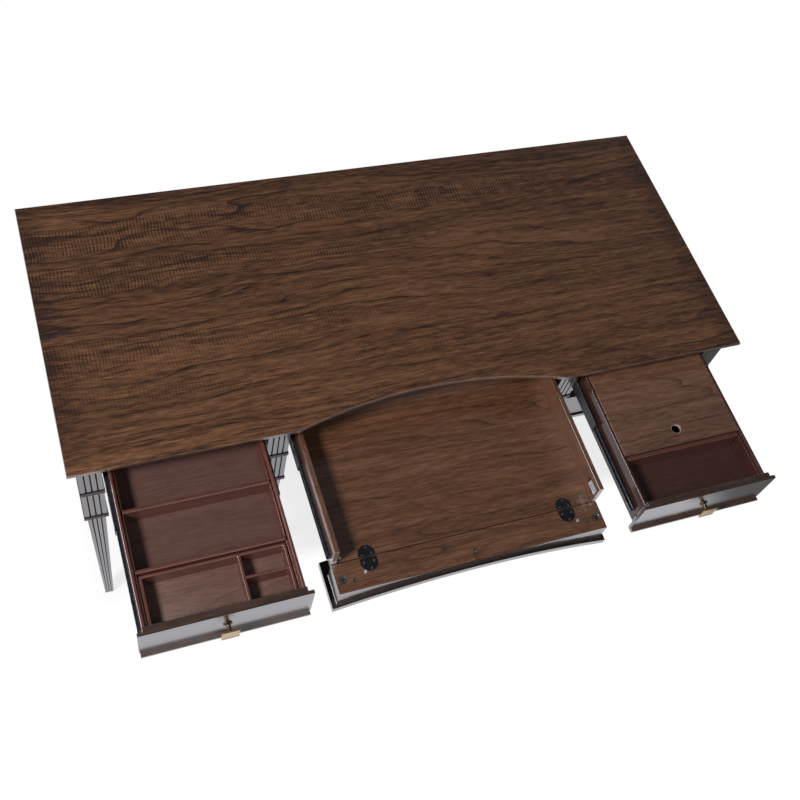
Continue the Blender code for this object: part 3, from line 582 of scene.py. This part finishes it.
# Where the drop front meets the drawer's bottom, and the hollow and ledge along its edges.
# The last four are limits of a face's normal.
seam = {
    "edgeDepth": 1.0 * mm,
    "reach": 1.6 * mm,
    "ledgeTop": flapHigh.z - 7.5 * mm,
    "hollowX": 0.3265,
    "hollowY": (-0.5125, -0.45),
    "ledgeLevel": 0.5,
    "panelLevel": 0.9,
    "seamLevel": 0.97,
    "seamTurn": 0.2,
}


def isHollow(point):
    inFront = seam["hollowY"][0] < point.y < seam["hollowY"][1] and abs(point.x) < seam["hollowX"]
    return inFront and point.z < flapHigh.z - 2 * seam["edgeDepth"]


def isShadedLedge(face):
    return face.normal.z > seam["ledgeLevel"] and face.center.z < seam["ledgeTop"] and face.center.y < seamY


def isBesidePanel(face):
    return face.normal.z < seam["panelLevel"] or face.center.z < flapHigh.z - seam["edgeDepth"]


def isSeamShadow(face):
    near = abs(face.center.y - seamY) < seam["reach"]
    return near and abs(face.normal.y) > seam["seamTurn"] and face.normal.z < seam["seamLevel"]


def easeKeyboardDrawer():
    for side in ("left", "right"):
        easeNode(f"centre_drawer_side_{side}", wood("side", "Y"), easeWidths["keyboardSide"])
    easeNode("centre_drawer_back", wood("panel", "X"), easeWidths["board"])
    bottom = easeNode("centre_drawer_bottom", wood("panel", "X"), easeWidths["keyboardBottom"])
    dropFront = easeNode("drop_front", wood("panel", "X"), easeWidths["board"], isHollow)
    paintFaces(dropFront, wood("case", "X"), isBesidePanel)
    # The drop front's ledge and hollow are painted dark as painted shade, and the edges that meet at the seam are
    # painted dark as a painted shadow line.
    paintFaces(dropFront, wood("band", "X"), isShadedLedge)
    for piece in (bottom, dropFront):
        paintFaces(piece, wood("band", "X"), isSeamShadow)
    print("keyboard drawer eased")


# The edges of the slides' members are painted a lighter steel: a painted glint where they catch the light
glintEdge = {"turn": (0.30, 0.96), "endTurn": 0.1}


def isGlintEdge(face):
    turn = max(abs(face.normal.x), abs(face.normal.z))
    return glintEdge["turn"][0] < turn < glintEdge["turn"][1] and abs(face.normal.y) < glintEdge["endTurn"]


def easeSlides():
    for node in frame["nodes"]:
        if "_slide_" in node:
            member = easeNode(node, blackSteel, easeWidths["slide"])
            # Their edges take the painted glint
            paintFaces(member, rolledSteel, isGlintEdge)
        if node.startswith("hinge_leaf"):
            easeNode(node, blackSteel, easeWidths["leaf"])
    print("slides eased")


easeCase()
easeSideDrawers()
easeKeyboardDrawer()
easeSlides()


# Pulls: the plate's front is brass and its edges are gold

pull = {
    "plate": 37 * mm,
    "plateThickness": 3.2 * mm,
    "border": 2.6 * mm,
    "panelDepth": 0.7 * mm,
    "panelShare": 1 / 6,
    "panelRise": 0.6,
    "bevel": 0.5 * mm,
    "bevelSegments": 3,
    "goldTurn": -0.8,
    "turnSteps": 40,
    "profile": [(0.0, 0.0), (9.5, 0.0), (9.7, 0.8), (9.2, 1.8), (7.6, 2.6), (5.6, 3.2), (4.7, 4.4),
                (4.4, 7.0), (4.3, 12.0), (4.5, 17.0), (5.2, 20.0), (5.6, 21.4), (5.6, 22.6), (0.0, 22.6)],
}


def makePost(name, centre):
    mesh = bpy.data.meshes.new(name)
    post = bpy.data.objects.new(name, mesh)
    bpy.context.scene.collection.objects.link(post)
    outline = bmesh.new()
    points = [outline.verts.new((radius * mm, 0, height * mm)) for radius, height in pull["profile"]]
    for first, second in zip(points, points[1:]):
        outline.edges.new((first, second))
    outline.to_mesh(mesh)
    outline.free()
    openEdit(post, "VERT", selected=True)
    bpy.ops.mesh.spin(steps=pull["turnSteps"], angle=math.tau, center=(0, 0, 0), axis=(0, 0, 1))
    bpy.ops.mesh.select_all(action="SELECT")
    bpy.ops.mesh.remove_doubles(threshold=easing["weld"])
    bpy.ops.mesh.normals_make_consistent(inside=False)
    closeEdit()
    settle(post, Matrix.Translation(centre) @ Matrix.Rotation(math.pi / 2, 4, "X"))
    smooth(post, "turned")
    return post


def makePlate(name, centre):
    bpy.ops.mesh.primitive_cube_add(size=1, location=(0, 0, 0))
    plate = bpy.context.active_object
    plate.scale = (pull["plate"], pull["plateThickness"], pull["plate"])
    settle(plate)
    openEdit(plate)
    pickFaces(plate, lambda face: face.normal.y < -facing["straight"])
    bpy.ops.mesh.inset(thickness=pull["border"])
    bpy.ops.mesh.extrude_region_move(TRANSFORM_OT_translate={"value": (0, pull["panelDepth"], 0)})
    bpy.ops.mesh.inset(thickness=pull["panelDepth"])
    bpy.ops.mesh.inset(thickness=pull["plate"] * pull["panelShare"])
    bpy.ops.transform.translate(value=(0, -pull["panelDepth"] * pull["panelRise"], 0))
    closeEdit()
    applyModifier(plate, "BEVEL", width=pull["bevel"], segments=pull["bevelSegments"], limit_method="ANGLE")
    plate.name = name
    settle(plate, Matrix.Translation(centre))
    smooth(plate, "plate")
    return plate


def makePulls():
    for drawer in ("left_drawer", "right_drawer"):
        low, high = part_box(f"{drawer}_pull")
        middle = (low + high) / 2
        post = makePost(f"{drawer}Post", Vector((middle.x, high.y, middle.z)))
        finishPiece(post, f"{drawer}PullPost", drawer, bronze, (f"{drawer}_pull",))
        plate = makePlate(f"{drawer}Plate", Vector((middle.x, low.y + pull["plateThickness"] / 2, middle.z)))
        finishPiece(plate, f"{drawer}PullPlate", drawer, brass)
        paintFaces(plate, gold, lambda face: face.normal.y > pull["goldTurn"])
    print("pulls made")


makePulls()


# Small fittings, each modelled once at the origin and copied to its places

def copyPiece(original, name, matrix):
    copy = bpy.data.objects.new(name, original.data.copy())
    bpy.context.scene.collection.objects.link(copy)
    return settle(copy, matrix)


def placeCopies(original, name, places, body, material, turns=None):
    turns = turns or [0.0] * len(places)
    for number, (spot, turn) in enumerate(zip(places, turns), 1):
        matrix = Matrix.Translation(spot) @ Matrix.Rotation(turn, 4, "Z")
        finishPiece(copyPiece(original, name, matrix), f"{name}{number}", body, material)
    bpy.data.objects.remove(original, do_unlink=True)


def makeBlock(name, size, bevel, at=(0, 0, 0)):
    bpy.ops.mesh.primitive_cube_add(size=1, location=(0, 0, 0))
    piece = bpy.context.active_object
    piece.name = name
    piece.scale = size
    settle(piece)
    applyModifier(piece, "BEVEL", width=bevel, segments=easing["segments"], limit_method="ANGLE")
    return settle(piece, Matrix.Translation(at))


def makeRound(name, radius, depth, sides, top=0.0):
    bpy.ops.mesh.primitive_cylinder_add(vertices=sides, radius=radius, depth=depth,
                                        location=(0, 0, top - depth / 2))
    piece = bpy.context.active_object
    piece.name = name
    return settle(piece)


def cutWith(piece, cutters):
    for cutter in cutters:
        applyModifier(piece, "BOOLEAN", operation="DIFFERENCE", solver="EXACT", object=cutter)
        bpy.data.objects.remove(cutter, do_unlink=True)


# A cross-slotted screw: all but its sides are shares of its radius, height or slot
screw = {"sides": 24, "rim": 0.34, "dome": 0.4, "slotLength": 1.15, "slotWidth": 0.27, "slotBevel": 0.125}


def makeScrew(name, radius, height):
    head = makeRound(name, radius, height, screw["sides"], height)
    openEdit(head)
    pickOutermost(head, "z")
    bpy.ops.mesh.inset(thickness=radius * screw["rim"])
    bpy.ops.transform.translate(value=(0, 0, height * screw["dome"]))
    closeEdit()
    peak = height * (1 + screw["dome"])
    length, width = radius * screw["slotLength"], radius * screw["slotWidth"]
    cutWith(head, [makeBlock("slotCutter", size, width * screw["slotBevel"], (0, 0, peak))
                   for size in ((length, width, height), (width, length, height))])
    smooth(head, "fitting")
    return head


# Places of the fittings below, under "fixed", "moving" and the names that end in "At", are in millimetres.
hingeFitting = {
    "middleX": 240 * mm,
    "fixed": [(1.5, 21.0), (-11.0, 5.0), (11.0, 5.0)],
    "moving": [(-11.5, -12.5), (11.5, -12.5), (1.5, -28.0)],
    "leafDrop": 0.6 * mm,
    "screwRadius": 2.7 * mm,
    "screwHeight": 0.6 * mm,
    "turnStep": 0.7,
}


def makeHingeScrews():
    leafTop = hinge["pos_m"][2] - hingeFitting["leafDrop"]
    for part, body in (("fixed", "centre_drawer"), ("moving", "flap")):
        places = [(side * hingeFitting["middleX"] + x * mm, seamY + y * mm, leafTop)
                  for side in (-1, 1) for x, y in hingeFitting[part]]
        original = makeScrew("screw", hingeFitting["screwRadius"], hingeFitting["screwHeight"])
        turns = [hingeFitting["turnStep"] * number for number in range(len(places))]
        placeCopies(original, f"{part}LeafScrew", places, body, darkScrew, turns)
    print("hinge screws made")


flapFitting = {
    "strikeAt": [(-306.0, -477.96), (306.0, -477.96)],
    "strikeRadius": 9.8 * mm,
    "strikeThickness": 1.4 * mm,
    "strikeRim": 1.5 * mm,
    "strikeDish": 0.4 * mm,
    "keyRadius": 2.4 * mm,
    "keySides": 20,
    "keySlot": (1.7 * mm, 6.5 * mm),
    "keyDepth": 3.5 * mm,
    "wellRadius": 8.0 * mm,
    "wellSides": 24,
    "wellThickness": 0.12 * mm,
    "wellTop": -1.37 * mm,
    "sleeveAt": [(-280.5, -484.96), (0.0, -484.96), (280.5, -484.96)],
    "sleeveRadius": 4.85 * mm,
    "sleeveDepth": 7.5 * mm,
    "sleeveRise": 0.1 * mm,
    "sleeveWall": 0.7 * mm,
    "screwAt": [(-252.8, -471.8), (259.3, -475.0)],
    "screwRadius": 3.9 * mm,
    "screwHeight": 0.9 * mm,
    "screwTurns": [0.5, 1.1],
    "sides": 40,
}


def flapPlaces(key):
    return [(x * mm, y * mm, flapHigh.z) for x, y in flapFitting[key]]


def makeStrikes():
    disc = makeRound("strike", flapFitting["strikeRadius"], flapFitting["strikeThickness"],
                     flapFitting["sides"])
    openEdit(disc)
    pickOutermost(disc, "z")
    bpy.ops.mesh.inset(thickness=flapFitting["strikeRim"])
    bpy.ops.mesh.inset(thickness=flapFitting["strikeDish"])
    bpy.ops.transform.translate(value=(0, 0, -flapFitting["strikeDish"]))
    closeEdit()
    width, length = flapFitting["keySlot"]
    deep = flapFitting["keyDepth"]
    cutWith(disc, [
        makeRound("keyCutter", flapFitting["keyRadius"], deep, flapFitting["keySides"], deep / 2),
        makeBlock("slotCutter", (width, length, deep), width * screw["slotBevel"], (0, -length / 2, 0)),
    ])
    smooth(disc, "fitting")
    placeCopies(disc, "strikePlate", flapPlaces("strikeAt"), "flap", pewter)
    # A black disc under each strike shows through its keyhole: painted shade
    well = makeRound("well", flapFitting["wellRadius"], flapFitting["wellThickness"],
                     flapFitting["wellSides"], flapFitting["wellTop"])
    openEdit(well)
    pickOutermost(well, "z")
    bpy.ops.mesh.inset(thickness=flapFitting["strikeDish"])
    closeEdit()
    placeCopies(well, "keyWell", flapPlaces("strikeAt"), "flap", blackSteel)
    print("strikes made")


def makeSleeves():
    sleeve = makeRound("sleeve", flapFitting["sleeveRadius"], flapFitting["sleeveDepth"],
                       flapFitting["sides"], flapFitting["sleeveRise"])
    openEdit(sleeve)
    pickOutermost(sleeve, "z")
    bpy.ops.mesh.inset(thickness=flapFitting["sleeveWall"])
    deep = flapFitting["sleeveDepth"] - flapFitting["sleeveWall"]
    bpy.ops.mesh.extrude_region_move(TRANSFORM_OT_translate={"value": (0, 0, -deep)})
    closeEdit()
    smooth(sleeve, "fitting")
    placeCopies(sleeve, "pegSleeve", flapPlaces("sleeveAt"), "flap", pewter)
    original = makeScrew("screw", flapFitting["screwRadius"], flapFitting["screwHeight"])
    placeCopies(original, "flapScrew", flapPlaces("screwAt"), "flap", zinc,
                flapFitting["screwTurns"])
    print("sleeves and flap screws made")


catch = {
    "plate": (1.2 * mm, 31.0 * mm, 18.0 * mm),
    "plateAt": (-419.5, 690.0),
    "cuts": 2,
    "window": 0.9 * mm,
    "windowDepth": 0.6 * mm,
    "bevel": 0.3 * mm,
    "bushRadius": 5.2 * mm,
    "bushSides": 32,
    "bushDepth": 0.8 * mm,
    "bushRim": 1.2 * mm,
    "bushDish": 0.7,
    "bushAt": (-399.5, 694.0),
    "footScrewAt": (-298.6, -427.8),
    "footScrewRadius": 3.2 * mm,
    "footScrewHeight": 1.2 * mm,
    "footScrewTurns": [0.4],
    "strap": (9.0 * mm, 0.9 * mm, 13.0 * mm),
    "strapBevel": 0.25 * mm,
    "strapOutset": 6.0 * mm,
    "strapRise": 10.0 * mm,
}


def placeOnSides(original, name, innerX, at, material):
    # The pair faces inwards, so the right one is turned round.
    y, z = (value * mm for value in at)
    placeCopies(original, name, [(-innerX, y, z), (innerX, y, z)], "centre_drawer", material,
                [0.0, math.pi])


def makeCatches():
    innerX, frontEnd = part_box("centre_drawer_side_right")[0].xy
    plate = makeBlock("catch", catch["plate"], catch["bevel"], (catch["plate"][0] / 2, 0, 0))
    openEdit(plate)
    pickOutermost(plate, "x")
    bpy.ops.mesh.subdivide(number_cuts=catch["cuts"])
    bpy.ops.mesh.inset(thickness=catch["window"], use_individual=True)
    bpy.ops.mesh.extrude_region_move(TRANSFORM_OT_translate={"value": (-catch["windowDepth"], 0, 0)})
    closeEdit()
    smooth(plate, "fitting")
    placeOnSides(plate, "catchPlate", innerX, catch["plateAt"], zinc)
    # A black dished disc beside each catch stands for a dark hole: painted shade
    bush = makeRound("bush", catch["bushRadius"], catch["bushDepth"], catch["bushSides"], catch["bushDepth"])
    openEdit(bush)
    pickOutermost(bush, "z")
    bpy.ops.mesh.inset(thickness=catch["bushRim"])
    bpy.ops.transform.translate(value=(0, 0, -catch["bushDepth"] * catch["bushDish"]))
    closeEdit()
    smooth(bush, "fitting")
    settle(bush, Matrix.Rotation(math.pi / 2, 4, "Y"))
    placeOnSides(bush, "catchBush", innerX, catch["bushAt"], blackSteel)
    x, y = (value * mm for value in catch["footScrewAt"])
    original = makeScrew("screw", catch["footScrewRadius"], catch["footScrewHeight"])
    placeCopies(original, "footScrew", [(x, y, bottomHigh.z)], "centre_drawer", zinc,
                catch["footScrewTurns"])
    strap = makeBlock("strap", catch["strap"], catch["strapBevel"], (0, -catch["strap"][1] / 2, 0))
    smooth(strap, "fitting")
    spots = [(side * (innerX + catch["strapOutset"]), frontEnd, bottomHigh.z + catch["strapRise"])
             for side in (-1, 1)]
    placeCopies(strap, "endStrap", spots, "centre_drawer", zinc)
    print("catches made")


# Linings in the cells of the pencil tray, and the cover's edges, with a painted shadow at its front

tray = {
    "floor": 6.0 * mm,
    "wall": 6.5 * mm,
    "largeCell": 193.0 * mm,
    "rearCell": 45.0 * mm,
    "lining": 0.9 * mm,
    "play": 0.3 * mm,
    "bevel": 0.25 * mm,
}


def makeTrayLinings():
    low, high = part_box("left_drawer_tray")
    wall = tray["wall"]
    left, right = low.x + wall, high.x - wall
    front, rear = low.y + wall, high.y - wall
    dividerX = left + tray["largeCell"]
    dividerY = rear - tray["rearCell"]
    cells = [(left, dividerX, front, rear), (dividerX + wall, right, dividerY, rear),
             (dividerX + wall, right, front, dividerY - wall)]
    height = low.z + tray["floor"] + tray["lining"] / 2
    for number, (x0, x1, y0, y1) in enumerate(cells, 1):
        size = (x1 - x0 - 2 * tray["play"], y1 - y0 - 2 * tray["play"], tray["lining"])
        lining = makeBlock("lining", size, tray["bevel"], ((x0 + x1) / 2, (y0 + y1) / 2, height))
        smooth(lining, "fitting")
        finishPiece(lining, f"trayLining{number}", "left_drawer", wood("tray", "X"))
    print("tray linings made")


coverEdge = {
    "lip": 0.5 * mm,
    "lipBevel": 0.1 * mm,
    "inset": 0.4 * mm,
    "holeDrop": 1.3 * mm,
    "holeSetback": 40.0 * mm,
    "holeRadius": 12.2 * mm,
    "holeWall": 0.9 * mm,
    "holeSides": 48,
}


def makeCoverEdges():
    low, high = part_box("right_drawer_cover")
    middle = (low + high) / 2
    # A thin black strip in front of the cover is a painted shadow along its front edge
    inset = 2 * coverEdge["inset"]
    size = (high.x - low.x - inset, coverEdge["lip"], high.z - low.z - inset)
    lip = makeBlock("lip", size, coverEdge["lipBevel"], (middle.x, low.y - coverEdge["lip"] / 2, middle.z))
    smooth(lip, "fitting")
    finishPiece(lip, "coverFrontLip", "cover", blackSteel)
    deep = high.z - low.z - coverEdge["inset"] - coverEdge["holeDrop"]
    radius, sides = coverEdge["holeRadius"], coverEdge["holeSides"]
    ring = makeRound("ring", radius, deep, sides)
    cutWith(ring, [makeRound("ringCutter", radius - coverEdge["holeWall"], deep * 2, sides, deep / 2)])
    smooth(ring, "fitting")
    holeAt = (middle.x, low.y + coverEdge["holeSetback"], high.z - coverEdge["holeDrop"])
    settle(ring, Matrix.Translation(holeAt))
    finishPiece(ring, "holeRing", "cover", wood("core", "Z"))
    print("cover edges made")


makeHingeScrews()
makeStrikes()
makeSleeves()
makeCatches()
makeTrayLinings()
makeCoverEdges()


# Camera, floor and light

cameraPlace = {
    "at": (-0.7928, -1.3954, 2.7710),
    "azimuth": 35.664,
    "elevation": 57.268,
    "roll": -19.892,
    "focalPixels": 1060.5,
    "imagePixels": 800,
    "centrePixels": (421.4, 404.0),
    "sensor": 36.0,
    "clipStart": 0.05,
}


def addCamera():
    azimuth, elevation, roll = (math.radians(cameraPlace[key]) for key in ("azimuth", "elevation", "roll"))
    forward = Vector((math.sin(azimuth) * math.cos(elevation), math.cos(azimuth) * math.cos(elevation),
                      -math.sin(elevation)))
    right = forward.cross(Vector((0, 0, 1))).normalized()
    down = forward.cross(right)
    turnedRight = math.cos(roll) * right + math.sin(roll) * down
    turnedDown = math.cos(roll) * down - math.sin(roll) * right
    camera = bpy.data.objects.new("camera", bpy.data.cameras.new("camera"))
    bpy.context.scene.collection.objects.link(camera)
    standY = (topLow.y + topHigh.y) / 2
    at = Vector(cameraPlace["at"]) + Vector((0, standY, 0))
    columns = Matrix((turnedRight, -turnedDown, -forward)).transposed()
    camera.matrix_world = Matrix.Translation(at) @ columns.to_4x4()
    size = cameraPlace["imagePixels"]
    camera.data.sensor_width = cameraPlace["sensor"]
    camera.data.lens = cameraPlace["sensor"] * cameraPlace["focalPixels"] / size
    camera.data.shift_x = (size / 2 - cameraPlace["centrePixels"][0]) / size
    camera.data.shift_y = (cameraPlace["centrePixels"][1] - size / 2) / size
    camera.data.clip_start = cameraPlace["clipStart"]
    bpy.context.scene.camera = camera


# The camera and the gloss see a white floor with a painted shadow under the desk, where it glows less; for the
# gloss it ends on the right.
# For the gloss the world glows low down and on the left; it also fills the shade with a cold light.
studio = {
    "floorSize": 14.0,
    "floorColour": (0.86, 0.86, 0.86),
    "floorPast": (0.02, 0.02, 0.02),
    "floorGrain": ((2, 2, 2), 2, 0.5),
    "floorRoughness": (0.3, 0.7, 0.85, 0.95),
    "shadeGlow": 0.80,
    "openGlow": 0.995,
    "shadeX": 0.79,
    "shadeY": (-0.150, 0.400),
    "shadeEdge": 0.03,
    "rearEdge": 0.14,
    "white": (1.0, 1.0, 1.0),
    "glossTint": (0.93, 0.94, 1.0),
    "shadeTint": (0.75, 0.98, 1.30),
    "glossEnd": (0.92, 1.12),
    "glossPast": 0.12,
    "worldGlossRise": (0.05, 0.55),
    "worldGlossHigh": 0.04,
    "leftReach": (-0.7, -0.2),
    "leftGloss": 6.0,
    "worldDiffuse": 0.09,
    "lampTarget": (0, -0.1, 0.7),
    "keyPower": 186,
    "keySize": 0.75,
    "keyAt": (-2.9, -1.4, 3.7),
    "fillPower": 22,
    "fillSize": 3.0,
    "fillAt": (0.7, -2.6, 4.2),
}


# The patch under the desk where the floor glows less: a painted shadow
def underDeskShadowMask(tree):
    axes = splitAxes(tree, place(tree, "ShaderNodeTexCoord").outputs["Object"])
    edge, rearEdge = studio["shadeEdge"], studio["rearEdge"]
    end = studio["shadeX"]
    front, back = studio["shadeY"]
    sideways = calculate(tree, "ABSOLUTE", axes["X"])
    inside = spread(tree, sideways, end - edge, end + edge, 1.0, 0.0, smoothStep=True)
    behind = spread(tree, axes["Y"], front - edge, front + edge, 0.0, 1.0, smoothStep=True)
    before = spread(tree, axes["Y"], back - rearEdge, back + rearEdge, 1.0, 0.0, smoothStep=True)
    return calculate(tree, "MULTIPLY", inside, calculate(tree, "MULTIPLY", behind, before))


def addFloor():
    bpy.ops.mesh.primitive_plane_add(size=studio["floorSize"], location=(0, 0, 0))
    floor = bpy.context.active_object
    floor.name = "floor"
    material, tree, shader = newMaterial("paleFloor")
    coordinate = place(tree, "ShaderNodeTexCoord").outputs["Object"]
    cloud = noise(tree, coordinate, *studio["floorGrain"]).outputs["Fac"]
    tree.links.new(spread(tree, cloud, *studio["floorRoughness"]), shader.inputs["Roughness"])
    shader.inputs["Specular IOR Level"].default_value = 0.0
    rays = place(tree, "ShaderNodeLightPath")
    seen = calculate(tree, "MAXIMUM", rays.outputs["Is Camera Ray"], rays.outputs["Is Glossy Ray"])
    seen = calculate(tree, "MAXIMUM", seen, rays.outputs["Is Transmission Ray"])
    glow = place(tree, "ShaderNodeEmission", in_Strength=1.0)
    tint = blendColours(tree, rays.outputs["Is Glossy Ray"], studio["white"], studio["glossTint"])
    tree.links.new(tint, glow.inputs["Color"])
    amount = spread(tree, underDeskShadowMask(tree), 0.0, 1.0, studio["openGlow"], studio["shadeGlow"])
    past = 1.0 - studio["glossPast"]
    ending = spread(tree, splitAxes(tree, coordinate)["X"], *studio["glossEnd"], 0.0, past, smoothStep=True)
    ending = calculate(tree, "MULTIPLY", ending, rays.outputs["Is Glossy Ray"])
    amount = calculate(tree, "MULTIPLY", amount, calculate(tree, "SUBTRACT", 1.0, ending))
    colour = blendColours(tree, ending, studio["floorColour"], studio["floorPast"])
    tree.links.new(colour, shader.inputs["Base Color"])
    mix = place(tree, "ShaderNodeMixShader")
    tree.links.new(calculate(tree, "MULTIPLY", seen, amount), mix.inputs["Fac"])
    tree.links.new(shader.outputs["BSDF"], mix.inputs[1])
    tree.links.new(glow.outputs["Emission"], mix.inputs[2])
    tree.links.new(mix.outputs["Shader"], tree.nodes["Material Output"].inputs["Surface"])
    floor.data.materials.append(material)


def addWorld():
    world = bpy.data.worlds.new("studio")
    bpy.context.scene.world = world
    world.use_nodes = True
    tree = world.node_tree
    background = tree.nodes["Background"]
    axes = splitAxes(tree, place(tree, "ShaderNodeTexCoord").outputs["Generated"])
    gloss = spread(tree, axes["Z"], *studio["worldGlossRise"], 1.0, studio["worldGlossHigh"], smoothStep=True)
    softbox = spread(tree, axes["X"], *studio["leftReach"], studio["leftGloss"], 1.0, smoothStep=True)
    gloss = calculate(tree, "MULTIPLY", gloss, softbox)
    rays = place(tree, "ShaderNodeLightPath")
    lit = place(tree, "ShaderNodeMix", data_type="FLOAT")
    lit.inputs["A"].default_value = studio["worldDiffuse"]
    tree.links.new(rays.outputs["Is Glossy Ray"], lit.inputs["Factor"])
    tree.links.new(gloss, lit.inputs["B"])
    seen = calculate(tree, "MAXIMUM", rays.outputs["Is Camera Ray"], rays.outputs["Is Transmission Ray"])
    strength = calculate(tree, "MAXIMUM", lit.outputs["Result"], seen)
    tree.links.new(strength, background.inputs["Strength"])
    tint = blendColours(tree, rays.outputs["Is Glossy Ray"], studio["shadeTint"], studio["glossTint"])
    tint = blendColours(tree, seen, tint, studio["white"])
    tree.links.new(tint, background.inputs["Color"])


def addLamp(name, power, size, at):
    lamp = bpy.data.lights.new(name, "AREA")
    lamp.energy = power
    lamp.size = size
    holder = bpy.data.objects.new(name, lamp)
    bpy.context.scene.collection.objects.link(holder)
    holder.location = at
    toTarget = Vector(studio["lampTarget"]) - Vector(at)
    holder.rotation_euler = toTarget.to_track_quat("-Z", "Y").to_euler()


addCamera()
addFloor()
addWorld()
addLamp("keyLamp", studio["keyPower"], studio["keySize"], studio["keyAt"])
addLamp("fillLamp", studio["fillPower"], studio["fillSize"], studio["fillAt"])
print("camera and studio ready")

bpy.context.scene.view_settings.view_transform = "Standard"
